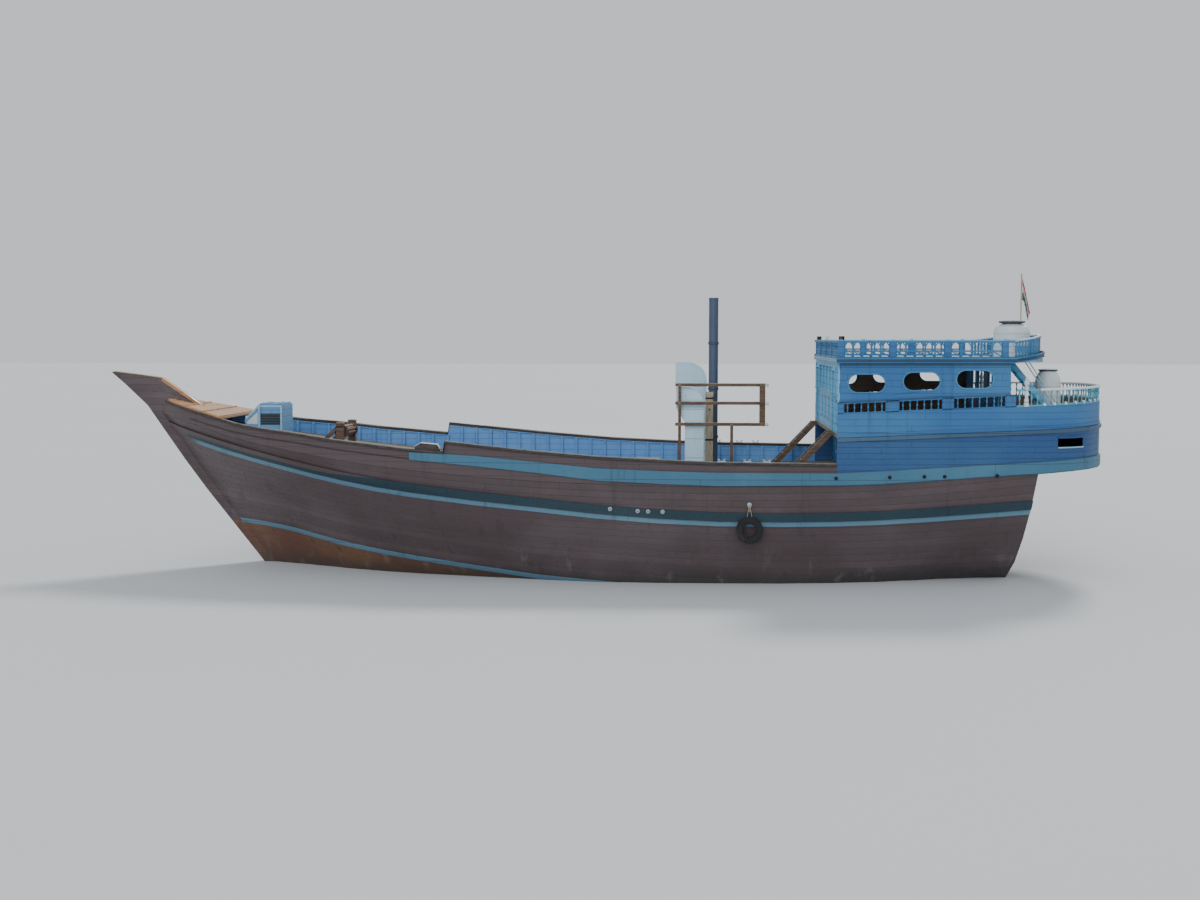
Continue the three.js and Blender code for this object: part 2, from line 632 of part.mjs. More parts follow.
function railCap(rail) {
  return loft(railStations(rail, POOP_FRONT + GAP, CAP_BOW).map((x) => {
    const high = line(rail, x);
    const low = high - CAP_THICK + GAP;
    const outer = side(x) + CAP_OUT;
    const inner = side(x) - CAP_IN;
    return [point(x, outer, low), point(x, outer, high), point(x, inner, high), point(x, inner, low)];
  }));
}

function band() {
  const xs = spanning(PLAN_TURN + GAP, 6800);
  return loft(xs.map((x) => {
    const low = line(BAND_LOW, x);
    const high = line(BAND_HIGH, x);
    const inner = side(x) + GAP * 1.5;
    const outer = side(x) + BAND_PROUD;
    return [point(x, inner, low), point(x, inner, high), point(x, outer, high), point(x, outer, low)];
  }));
}

const poopPath = horseshoe(POOP_PLAN);
const sternPath = poopPath.filter(({ x }) => x <= PLAN_TURN);
const roofPath = horseshoe(ROOF_PLAN);
const at = (table, shift = 0) => (x) => line(table, x) + shift;
const upperDeckTop = at(MOULDING, MOULD_HALF);
const POOP_XS = POOP_PLAN.map(([x]) => x).reverse();
const ROOF_XS = ROOF_PLAN.map(([x]) => x).reverse();

// Overhanging end of the hull aft of the transom.
function counter() {
  const xs = POOP_XS.filter((x) => x < STERN_END - 100);
  return slab([...xs, STERN_END - 1], poopHalf, (x) => sheer(x) - COUNTER_THICK, sheer);
}

function mainDeck() {
  const half = (x) => side(x) - WALL - GAP * 2;
  return slab(spanning(STERN_END + 1, 15000), half, (x) => sheer(x) + GAP, deckTop);
}

const sternBand = () => wall(sternPath, GAP * 2, BAND_PROUD, at(BAND_LOW), at(BAND_HIGH));
const upperDeck = () => slab(POOP_XS, poopHalf, at(MOULDING, -MOULD_HALF), upperDeckTop);

// The moulding lies on the planks just under the upper deck's edge.
function poopMoulding() {
  const low = at(MOULDING, -MOULD_DROP - MOULD_HALF);
  return wall(poopPath, GAP * 2, MOULD_PROUD, low, at(MOULDING, -MOULD_DROP + MOULD_HALF));
}

function poopBulwark() {
  return wall(poopPath, -POOP_WALL - 10, -10, at(MOULDING, MOULD_HALF + GAP), at(POOP_RAIL));
}

function poopSide() {
  const shell = wall(poopPath, -WALL, 0, (x) => sheer(x) + GAP, at(MOULDING, -MOULD_HALF - GAP));
  const { x0, x1, z0, z1 } = FREEING_PORT;
  return cut(shell, [box(x0, x1, 2000, 5000, z0, z1), box(x0, x1, -5000, -2000, z0, z1)]);
}

const bulkheadFloor = Math.max(deckTop(BULKHEAD.x), deckTop(BULKHEAD.x - BULKHEAD.thick)) + GAP;

function poopFront() {
  const { x, thick, door, windowAt, windowHalf } = BULKHEAD;
  const half = side(x - thick) - WALL - GAP;
  const floor = bulkheadFloor;
  const head = floor + POOP_DOOR_TALL;
  const ceiling = line(MOULDING, x) - MOULD_HALF - 12;
  const outline = [
    [-half, floor], [-door, floor], [-door, head], [door, head], [door, floor],
    [half, floor], [half, ceiling], [-half, ceiling],
  ];
  const windows = [-windowAt, windowAt].map((y) =>
    rectangle(y - windowHalf, y + windowHalf, floor + 500, floor + 1000));
  return plateYZ(outline, windows, x - thick, thick);
}

// The door with its strap hinges, which turn on knuckles in front of the bulkhead.
function poopDoor() {
  const { half, thick, proud, clear, hingeY, knuckle, strap } = DOOR;
  const face = BULKHEAD.x;
  const floor = bulkheadFloor;
  const pin = (z) => point(face + knuckle + 0.4, hingeY, z);
  const head = floor + POOP_DOOR_TALL;
  const leaf = box(face + proud - thick, face + proud, -half, half, floor + clear, head - clear);
  const hinges = STRAPS_AT.map((z) => floor + z).flatMap((z) => [
    box(face + 0.4, face + 10, 180, hingeY, z, z + strap),
    rod(knuckle, pin(z - 10), pin(z + strap + 10)),
  ]);
  return join([leaf, ...hinges]);
}

function wheelhouseSide() {
  const a = new THREE.Vector2(FRONT.x - 10, HOUSE_HALF_FORE - 30);
  const b = new THREE.Vector2(HOUSE_AFT, HOUSE_HALF_AFT);
  const length = a.distanceTo(b);
  const across = point(b.x - a.x, b.y - a.y, 0).normalize();
  const share = (x) => (a.x - x) / (a.x - b.x) * length;
  const low = at(PANEL_LOW);
  const outline = [[0, low(a.x)], [length, low(b.x)], [length, HOUSE_TOP], [0, HOUSE_TOP]];
  const windows = WINDOWS.map(([x, z]) => stadium(share(x), z, WINDOW_LONG, WINDOW_TALL));
  const made = plate(outline, windows, HOUSE_WALL, point(a.x, a.y, 0), across, point(0, 0, 1));
  return made.translate(0, -HOUSE_WALL, 0);
}

// A cross wall of the wheelhouse with a gate on each side and a row of window openings.
function crossWall({ x, gate, gateTop, sill, head }, half, windows) {
  const low = upperDeckTop(x) + GAP;
  const port = [
    [gate[0], low], [gate[0], gateTop], [gate[1], gateTop], [gate[1], low], [half, low], [half, HOUSE_TOP],
  ];
  const starboard = [...port].reverse().map(([y, z]) => [-y, z]);
  const holes = windows.map(([y, reach]) => rectangle(y - reach, y + reach, sill, head));
  return plateYZ([...starboard, ...port], holes, x, 65);
}
const wheelhouseFront = () => crossWall(FRONT, poopHalf(FRONT.x) - POOP_WALL - 10 - GAP, FRONT_WINDOWS);
const wheelhouseAft = () => crossWall(AFT, HOUSE_HALF_AFT - HOUSE_WALL - 2, AFT_WINDOWS);

// The roof, with a hatch over the aft ladder.
function roof() {
  const { y, width, top } = AFT_LADDER;
  const deck = slab(ROOF_XS, roofHalf, () => HOUSE_TOP + GAP, () => ROOF_TOP);
  const half = width / 2 + 40;
  const fore = top + LADDER_CHEEK.half + GAP;
  return cut(deck, [box(top - 620, fore, y - half, y + half, HOUSE_TOP - 100, ROOF_TOP + 100)]);
}

const roofShare = (x) => THREE.MathUtils.clamp((ROOF_TURN - x) / (ROOF_TURN - ROOF_TIP), 0, 1);
const roofRise = (x) => ROOF_RAIL_RISE * roofShare(x);
const roofFascia = () =>
  wall(roofPath, GAP * 2, 45, (x) => FASCIA.low + roofRise(x), (x) => FASCIA.high + roofRise(x));

const TOP_RAIL_SHAPE = { ...TOP_RAIL, low: () => ROOF_TOP + GAP, high: (x) => ROOF_RAIL + roofRise(x) };

// Rail on the straight sides and the front of the roof.
function roofRail() {
  const port = fence(roofPath.filter(({ x, y }) => x >= ROOF_TURN && y > 0), TOP_RAIL_SHAPE);
  const x = ROOF_FRONT - TOP_RAIL_INSET;
  const half = roofHalf(ROOF_FRONT) - 120;
  const across = withNormals([[x, -half], [x, half]]);
  const front = fence(across, { ...TOP_RAIL_SHAPE, inner: -TOP_RAIL_INSET, outer: 0 });
  return join([port, mirrored(port), front]);
}

// Port half of the rail round the roof's rounded end, a gap aft of the straight one.
function roofRailAft() {
  const path = roofPath.filter(({ x, y }) => x <= ROOF_TURN && y > 0);
  const first = path.shift();
  const tip = { x: path.at(-1).x, y: GAP / 2, nx: -1, ny: 0 };
  return fence([{ ...first, x: first.x - GAP }, ...path, tip], TOP_RAIL_SHAPE);
}

function sideBalusters() {
  const path = poopPath.filter(({ x, y }) => x >= PLAN_TURN && y > 0);
  path.push({ ...path.pop(), x: PLAN_TURN + 10 });
  const shape = { ...SIDE_RAIL, low: at(POOP_RAIL, GAP), high: at(PANEL_LOW, -GAP * 2.5) };
  const place = (x) => ({ x, y: poopHalf(x), nx: 0, ny: 1 });
  const posts = SIDE_POSTS.map(([aft, fore]) =>
    wall([place(fore), place(aft)], shape.inner, shape.outer, shape.low, shape.high));
  return join([fence(path, shape), ...posts]);
}

const galleryRail = () =>
  fence(sternPath, { ...STERN_RAIL, low: at(POOP_RAIL, GAP), high: at(GALLERY_RAIL) });

function exhaustStack() {
  const { x, radius, top, foot, footTall } = STACK;
  const base = onDeck(x - foot, x + foot, -foot, foot, deckTop(x) + footTall);
  return join([base, rod(radius, point(x, 0, deckTop(x) + footTall / 2), point(x, 0, top), 20)]);
}

const samsonPost = () => onDeck(SAMSON.x0, SAMSON.x1, SAMSON.y0, SAMSON.y1, SAMSON.top);

// Boxy ventilator: a square trunk under a hood with a quarter-round back and its mouth to the bow.
function cowl({ x0, x1, y0, y1, top, mouth, neck }) {
  const radius = (x1 - x0) * 0.62;
  const profile = (inset, front, foot) => {
    const shape = new THREE.Shape(front.map(([x, z]) => new THREE.Vector2(x, z)));
    shape.lineTo(x0 + radius, top - inset);
    shape.absarc(x0 + radius, top - radius, radius - inset, Math.PI / 2, Math.PI, false);
    shape.lineTo(x0 + inset, foot);
    return shape;
  };
  const make = (shape, from, to) => {
    const depth = to - from;
    const geometry = new THREE.ExtrudeGeometry(shape, { depth, bevelEnabled: false, curveSegments: 6 });
    return outward(geometry.rotateX(Math.PI / 2).translate(0, to, 0));
  };
  const floor = (x) => deckTop(x) + GAP;
  const t = COWL_PLATE;
  const sill = top - mouth;
  const trunk = x1 - neck;
  const front = [[trunk, floor(trunk)], [trunk, sill - t - COWL_CHIN], [x1, sill - t], [x1, top]];
  const hollow = [[x1 + 50, sill], [x1 + 50, top - t]];
  return cut(make(profile(0, front, floor(x0)), y0, y1), [make(profile(t, hollow, sill), y0 + t, y1 - t)]);
}

// A ladder between two points of its centreline, with level treads.
function ladder(top, foot, { y, width, treads }) {
  const { thick, half } = LADDER_CHEEK;
  const [x0, z0] = foot;
  const [x1, z1] = top;
  const outline = [[x0 - half, z0], [x0 + half, z0], [x1 + half, z1], [x1 - half, z1]];
  const cheeks = [y - width / 2, y + width / 2 - thick].map((from) => plateXZ(outline, from, from + thick));
  const steps = Array.from({ length: treads }, (_, k) => {
    const share = (k + 0.7) / (treads + 0.4);
    const x = x0 + (x1 - x0) * share;
    const z = z0 + (z1 - z0) * share;
    const reach = width / 2 - 10;
    const { half: deep, thick: tread } = TREAD;
    return box(x - deep, x + deep, y - reach, y + reach, z - tread / 2, z + tread / 2);
  });
  return join([...cheeks, ...steps]);
}

function deckLadder() {
  const { half } = LADDER_CHEEK;
  const { foot } = DECK_LADDER;
  const floor = Math.max(deckTop(foot - half), deckTop(foot + half)) + GAP;
  return ladder([POOP_FRONT + half + GAP, upperDeckTop(POOP_FRONT)], [foot, floor], DECK_LADDER);
}

function aftLadder() {
  const { top, foot } = AFT_LADDER;
  return ladder([top, ROOF_TOP], [foot, upperDeckTop(foot - LADDER_CHEEK.half) + GAP], AFT_LADDER);
}

function rack() {
  const { aft, fore, y, bar, heights } = RACK;
  const bars = heights.map((z) => box(aft, fore, y, y + bar, z - 50, z + 50));
  const posts = RACK_POSTS.map(([x, top]) => onDeck(x - 50, x + 50, y + 10, y + bar - 10, top));
  const { x, half } = RACK_END;
  const end = box(x - half, x + half, y + 10, y + bar - 10, heights[2], heights[0]);
  return join([...bars, ...posts, end]);
}

const hatchCoaming = () => onDeck(HATCH.aft, HATCH.fore, -HATCH.half, HATCH.half, HATCH.top);

function hatchBoards() {
  const { aft, fore, half, top, boards, lip } = HATCH;
  return box(aft - lip, fore + lip, -half - lip, half + lip, top + GAP, top + boards);
}

// Planks across the rail caps at the bow, with a slot for the stem.
function stemPlatform() {
  const { aft, fore, thick } = PLATFORM;
  const xs = railStations(RAIL_TOP, aft, fore);
  const planks = slab(xs, (x) => side(x) + 20, at(RAIL_TOP, GAP), at(RAIL_TOP, thick));
  const slot = KEEL_HALF + 4;
  return cut(planks, [box(STEM_FOOT[0] - 15, 17000, -slot, slot, 4000, 7000)]);
}

// Forepeak hatch: a box with a sloping fore side and a well under its lid.
function companion() {
  const { aft, half, wall: side } = COMPANION;
  const [fore] = COMPANION_FOOT;
  const [edge] = COMPANION_TOP;
  const bottom = spanning(aft, fore).map((x) => [x, deckTop(x) + GAP]).reverse();
  const wedge = plateXZ([[aft, COMPANION_TOP[1]], COMPANION_TOP, COMPANION_FOOT, ...bottom], -half, half);
  const floor = deckTop(fore) + 60;
  return cut(wedge, [box(aft + side, edge - side, side - half, half - side, floor, 6000)]);
}

function companionLid() {
  const { hinge, long, wide, thick } = LID;
  const seat = COMPANION_TOP[1] + GAP;
  return box(hinge - long, hinge, -wide / 2, wide / 2, seat, seat + thick);
}

function windlassPosts() {
  const { x, axle, pin, post, postTop, inner, outer } = WINDLASS;
  const deck = deckTop(x);
  const posts = [[inner, outer], [-outer, -inner]].map(([y0, y1]) =>
    onDeck(x - post, x + post, y0, y1, deck + postTop));
  const sill = onDeck(x - post + 10, x + post - 10, -inner - 100, inner + 100, deck + 120);
  const reach = outer - 80;
  const bore = rod(pin + 1, point(x, -reach, deck + axle), point(x, reach, deck + axle), ROUND);
  return cut(join([...posts, sill]), [bore]);
}

function windlassDrum() {
  const { radius, flange, flangeHalf, half } = DRUM;
  const at = (y) => point(WINDLASS.x, y, deckTop(WINDLASS.x) + WINDLASS.axle);
  const drum = rod(radius, at(-half), at(half));
  const flanges = [-half + 15, half - 15].map((y) => rod(flange, at(y - flangeHalf), at(y + flangeHalf)));
  const reach = WINDLASS.outer - 90;
  return join([drum, rod(WINDLASS.pin, at(-reach), at(reach), ROUND), ...flanges]);
}

function tyre() {
  const { hole, back, radius, half } = TYRE;
  const profile = [
    [hole, -80], [300, -half], [back, -half], [radius, -60], [radius, 60], [back, half], [300, half],
    [hole, 80], [hole, -80],
  ];
  return outward(new THREE.LatheGeometry(profile.map(([r, h]) => new THREE.Vector2(r, h)), 28));
}

// How far out the tyre hangs: the top of its back lies on the wale.
function tyreY(wale) {
  const { x, z, back, half } = TYRE;
  const target = new THREE.Mesh(wale);
  const angles = Array.from({ length: 61 }, (_, i) => THREE.MathUtils.degToRad(i - 30));
  const hits = angles.flatMap((a) => {
    const from = point(x + back * Math.sin(a), 2 * side(x), z + back * Math.cos(a));
    return new THREE.Raycaster(from, point(0, -1, 0)).intersectObject(target);
  });
  return Math.max(...hits.map((hit) => hit.point.y)) + half + GAP;
}

function tank({ radius, tall, lid }) {
  const shoulder = [radius * 0.9, tall * 0.88];
  const profile = [[0, 0], [radius, 0], [radius, tall * 0.75], shoulder, [lid, tall], [0, tall]];
  const turned = new THREE.LatheGeometry(profile.map(([r, h]) => new THREE.Vector2(r, h)), 24);
  return outward(turned).rotateX(Math.PI / 2);
}

function steeringWheel() {
  const { x, ring, grip, spoke, reach, hub } = WHEEL;
  const rim = outward(new THREE.TorusGeometry(ring, grip, 8, 24)).rotateY(Math.PI / 2);
  const bar = rod(spoke, point(0, 0, -reach), point(0, 0, reach), 8);
  const spokes = [0, 1, 2].map((k) => bar.clone().rotateX(k * Math.PI / 3));
  return join([rim, rod(hub, point(-40, 0, 0), point(HELM_X - x - GAP, 0, 0)), ...spokes]);
}

const helmDeck = upperDeckTop(HELM_X) + GAP;

function pedestal() {
  const { long, half, tall } = PEDESTAL;
  return box(HELM_X, HELM_X + long, -half, half, helmDeck, helmDeck + tall);
}

function flagstaff() {
  const { x, radius, top } = STAFF;
  return rod(radius, point(x, 0, ROOF_TOP + GAP), point(x, 0, top), 8);
}

function flag() {
  const hoist = STAFF.x - STAFF.radius - GAP;
  return box(hoist - FLAG.long, hoist, -FLAG.half, FLAG.half, FLAG.low, FLAG.high);
}

const dhow = new THREE.Group();

function add(name, finish, geometry, position = [0, 0, 0]) {
  const mesh = new THREE.Mesh(geometry, new THREE.MeshStandardMaterial(paint[finish]));
  mesh.name = name;
  mesh.position.set(...position);
  dhow.add(mesh);
}

// The same piece on both sides.
function pair(name, finish, geometry) {
  add(name + "_port", finish, geometry);
  add(name + "_starboard", finish, mirrored(geometry));
}

add("hull", "hull", hull());
add("keel", "bottom", keel());
add("stem_post", "hull", stem());
pair("low_stripe", "stripe", strake(LOW_STRIPE_ROW, STRIPE_PROUD));
pair("mid_stripe", "stripe", strake(MID_STRIPE_ROW, STRIPE_PROUD));
const wale = strake(WALE_ROW, WALE_PROUD);
pair("wale", "wale", wale);
const starboardRail = [...RAIL_AFT, ...RAIL_STEP, ...RAIL_FORE];
add("bulwark_port", "royal", bulwark(RAIL_TOP));
add("bulwark_starboard", "royal", mirrored(bulwark(starboardRail)));
add("rail_cap_port", "dark", railCap(RAIL_TOP));
add("rail_cap_starboard", "dark", mirrored(railCap(starboardRail)));
pair("band", "band", band());
add("main_deck", "deck", mainDeck());
add("counter", "hull", counter());
add("stern_band", "band", sternBand());

add("poop_side", "navy", poopSide());
add("poop_front", "royal", poopFront());
add("poop_door", "light", poopDoor());
add("upper_deck", "deck", upperDeck());
add("poop_moulding", "wale", poopMoulding());
add("poop_bulwark", "royal", poopBulwark());
pair("side_balusters", "royal", sideBalusters());
add("gallery_rail", "white", galleryRail());

pair("wheelhouse_side", "royal", wheelhouseSide());
add("wheelhouse_front", "light", wheelhouseFront());
add("wheelhouse_aft", "royal", wheelhouseAft());
add("roof", "light", roof());
add("roof_fascia", "light", roofFascia());
add("roof_rail", "light", roofRail());
pair("roof_rail_aft", "light", roofRailAft());

add("stem_platform", "varnish", stemPlatform());
add("companion", "light", companion());
add("companion_lid", "light", companionLid());
add("windlass_posts", "brown", windlassPosts());
add("windlass_drum", "brown", windlassDrum());
add("hatch_coaming", "brown", hatchCoaming());
add("hatch_boards", "deck", hatchBoards());
add("cowl_port", "aqua", cowl(COWL_PORT));
add("cowl_starboard", "aqua", cowl(COWL_STARBOARD));
add("exhaust_stack", "black", exhaustStack());
add("samson_post", "pale", samsonPost());
add("rack", "brown", rack());
pair("deck_ladder", "brown", deckLadder());
add("aft_ladder", "light", aftLadder());
add("roof_tank", "white", tank(ROOF_TANK), [ROOF_TANK.x, ROOF_TANK.y, ROOF_TOP + GAP]);
const tankFoot = upperDeckTop(GALLERY_TANK.x - GALLERY_TANK.radius) + GAP;
add("gallery_tank", "white", tank(GALLERY_TANK), [GALLERY_TANK.x, GALLERY_TANK.y, tankFoot]);
add("flagstaff", "pale", flagstaff());
add("flag", "cloth", flag());

add("steering_pedestal", "brown", pedestal());
add("steering_wheel", "brown", steeringWheel(), [WHEEL.x, 0, helmDeck + WHEEL.axle]);
add("rudder", "bottom", rudder());
add("propeller", "bronze", propeller());
add("tyre_fender", "rubber", tyre(), [TYRE.x, tyreY(wale), TYRE.z]);

export default dhow;
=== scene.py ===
import math

import bmesh
import bpy
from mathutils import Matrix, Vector


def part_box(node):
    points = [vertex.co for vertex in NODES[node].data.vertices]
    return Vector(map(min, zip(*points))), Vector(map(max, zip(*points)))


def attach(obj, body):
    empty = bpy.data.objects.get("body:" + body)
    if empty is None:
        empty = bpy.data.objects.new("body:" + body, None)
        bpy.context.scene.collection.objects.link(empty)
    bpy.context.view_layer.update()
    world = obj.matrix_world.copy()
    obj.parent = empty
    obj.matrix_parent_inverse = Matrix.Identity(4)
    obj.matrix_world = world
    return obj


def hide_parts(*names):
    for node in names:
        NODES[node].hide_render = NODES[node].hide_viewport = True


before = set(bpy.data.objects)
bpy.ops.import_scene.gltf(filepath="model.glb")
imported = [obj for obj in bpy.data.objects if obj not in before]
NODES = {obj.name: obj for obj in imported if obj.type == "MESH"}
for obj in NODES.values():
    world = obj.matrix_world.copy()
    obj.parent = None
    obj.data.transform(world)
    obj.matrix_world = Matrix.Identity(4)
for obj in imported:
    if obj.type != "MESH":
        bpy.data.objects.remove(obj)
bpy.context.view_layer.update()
BOAT = "boat"

CORNERS = ((-1, -1), (1, -1), (1, 1), (-1, 1))
# Rows: x, half breadth at the deck edge, deck edge height, cap height. Metres.
SHEER = [
    (-7.2, 4.402, 3.330, 4.040), (-5.4, 4.488, 3.293, 4.058), (-3.4, 4.543, 3.271, 4.078),
    (-1.4, 4.561, 3.282, 4.159), (0.6, 4.538, 3.327, 4.255), (2.6, 4.478, 3.409, 4.414),
    (4.6, 4.369, 3.530, 4.607), (5.6, 4.275, 3.615, 4.710), (5.66, 4.269, 3.619, 4.370),
    (6.8, 4.162, 3.715, 4.439), (8.0, 3.991, 3.839, 4.560), (9.4, 3.709, 4.014, 4.699),
    (10.8, 3.332, 4.222, 4.886), (12.2, 2.881, 4.456, 5.033), (13.3, 2.437, 4.659, 5.196),
    (14.3, 1.975, 4.893, 5.412), (15.1, 1.520, 5.083, 5.590), (15.9, 0.920, 5.263, 5.771),
    (16.35, 0.458, 5.365, 5.873),
]
# Rows: x, height.
DECK_LINE = [
    (-16.7, 3.96), (-15.25, 3.93), (-13.74, 3.835), (-12.0, 3.66), (-8.8, 3.40), (-7.2, 3.33), (-3.0, 3.27),
    (1.0, 3.34), (5.0, 3.56), (9.0, 3.96), (13.0, 4.60), (15.0, 5.06), (16.65, 5.43),
]
LOW_STRIPE = [
    (-13.9, -0.28), (-9.0, -0.42), (-5.0, -0.36), (0.46, -0.04), (2.67, 0.11), (5.04, 0.39),
    (7.8, 0.73), (9.73, 1.0), (12.3, 1.43), (14.1, 1.54),
]
BAND_LOW = [(-16.7, 3.8), (-15.25, 3.79), (-12.03, 3.6), (-8.82, 3.38), (-7.45, 3.33), (-3.15, 3.29)]
BAND_HIGH = [(-16.7, 4.16), (-15.25, 4.15), (-12.03, 3.97), (-8.82, 3.8), (-7.45, 3.72), (-3.15, 3.73)]
MID_STRIPE = [
    (-13.9, 2.45), (-10.0, 2.18), (-7.0, 2.06), (-3.0, 2.07), (0.43, 2.27), (2.62, 2.48), (5.85, 2.78),
    (8.64, 3.13), (11.65, 3.67), (15.07, 4.42), (16.3, 4.69),
]
UPPER_DECK = [(-16.7, 5.34), (-7.2, 4.98)]
POOP_RAIL = [(-16.7, 5.995), (-7.2, 5.63)]
GALLERY_RAIL = [(-16.7, 6.51), (-12.9, 6.43)]
PANEL_LOW = [(-12.8, 6.25), (-7.2, 5.99)]
DECK_THICK = 0.0603
# The poop's and the roof's plans: where the rounded end starts, half breadth there, its length and power.
POOP_TURN, POOP_HALF, POOP_END, POOP_POWER = -13.0, 3.85, 3.45, 2.3
ROOF_TURN, ROOF_AFT_HALF, ROOF_END, ROOF_POWER = -12.9, 3.94, 1.4, 2.6
ROOF_FORE, ROOF_FORE_HALF, ROOF_END_RISE = -7.15, 4.45, 0.22
TRANSOM_X = -13.7812


def along(table, x, column=1):
    """Value at x on the straight lines between a table's rows."""
    low = table[0]
    for high in table[1:]:
        if x <= high[0]:
            break
        low = high
    if low is high:
        low = table[-2]
    share = (x - low[0]) / (high[0] - low[0])
    return low[column] + share * (high[column] - low[column])


def half_breadth(x):
    return along(SHEER, x, 1)


def deck(x):
    return along(SHEER, x, 2) + DECK_THICK


def cap_top(x):
    return along(SHEER, x, 3)


def upper_deck(x):
    return along(UPPER_DECK, x)


def poop_rail(x):
    return along(POOP_RAIL, x)


def gallery_rail(x):
    return along(GALLERY_RAIL, x)


def panel_low(x):
    return along(PANEL_LOW, x)


def roof_rise(x):
    """How far the roof's end rises over its straight part."""
    return ROOF_END_RISE * min(max((ROOF_TURN - x) / ROOF_END, 0), 1)


def above(line, rise):
    """A line raised by a fixed height."""
    return lambda x: line(x) + rise


def super_ellipse(x0, y0, length, angles, power):
    """Points of a rounded end, aft of (x0, y0)."""
    turns = [math.radians(a) for a in angles]
    return [(x0 - length * math.sin(a) ** (2 / power), y0 * math.cos(a) ** (2 / power)) for a in turns]


def horseshoe(plan, turn=POOP_TURN):
    """Port plan with its mirror image, as (x, y, normal x, normal y)."""
    flat = plan + [(x, -y) for x, y in reversed(plan)]
    path = []
    for i, (x, y) in enumerate(flat):
        ax, ay = flat[max(i - 1, 0)]
        bx, by = flat[min(i + 1, len(flat) - 1)]
        length = math.hypot(bx - ax, by - ay)
        nx, ny = (by - ay) / length, -(bx - ax) / length
        if x >= turn:
            nx, ny = 0.0, math.copysign(1, y)
        path.append((x, y, nx, ny))
    return path


POOP_SIDE = [(-7.2, 4.4016), (-8.6, 4.3042), (-10.0, 4.1732), (-11.5, 4.0119), (POOP_TURN, POOP_HALF)]
TRANSOM_SHARE = 1 - ((POOP_TURN - TRANSOM_X) / POOP_END) ** POOP_POWER
TRANSOM = (TRANSOM_X, POOP_HALF * TRANSOM_SHARE ** (1 / POOP_POWER))
STERN_TURNS, ROOF_TURNS = (15, 30, 45, 60, 72, 84), (25, 50, 70, 84)
POOP_PLAN = POOP_SIDE + [TRANSOM] + super_ellipse(POOP_TURN, POOP_HALF, POOP_END, STERN_TURNS, POOP_POWER)
POOP = horseshoe(POOP_PLAN)
STERN = [p for p in POOP if p[0] <= POOP_TURN]
ROOF_SIDE = [(ROOF_FORE, ROOF_FORE_HALF), (ROOF_TURN, ROOF_AFT_HALF)]
ROOF = horseshoe(ROOF_SIDE + super_ellipse(ROOF_TURN, ROOF_AFT_HALF, ROOF_END, ROOF_TURNS, ROOF_POWER))


# Geometry.


def circle(count, shift=0.0):
    """Cosine and sine of evenly spaced turns."""
    return [(math.cos(t), math.sin(t)) for t in (2 * math.pi * (k + shift) / count for k in range(count))]


def section(x, y0, y1, z0, z1):
    """A rectangle across the boat."""
    return [(x, y1, z0), (x, y1, z1), (x, y0, z1), (x, y0, z0)]


def around(x, y, half_x, half_y, z):
    """A level rectangle round a point."""
    return [(x + a * half_x, y + b * half_y, z) for a, b in CORNERS]


def beside(half, xs):
    """Path along a port side whose half breadth is given."""
    return [(x, half(x), 0.0, 1.0) for x in xs]


def inward(path, depth):
    """The path moved against its normals."""
    return [(x - nx * depth, y - ny * depth, nx, ny) for x, y, nx, ny in path]


def stations(path, pitch):
    """Evenly spaced (x, y, normal) along a path of the same."""
    found = []
    for start, end in zip(path, path[1:]):
        count = max(1, round(math.dist(start[:2], end[:2]) / pitch))
        for k in range(count):
            share = (k + 0.5) / count
            found.append(tuple(a + (b - a) * share for a, b in zip(start, end)))
    return found


def mesh_of(name, points, faces):
    mesh = bpy.data.meshes.new(name)
    mesh.from_pydata(points, [], faces)
    return mesh


def placed(name, data):
    """A new object in the scene."""
    thing = bpy.data.objects.new(name, data)
    bpy.context.scene.collection.objects.link(thing)
    return thing


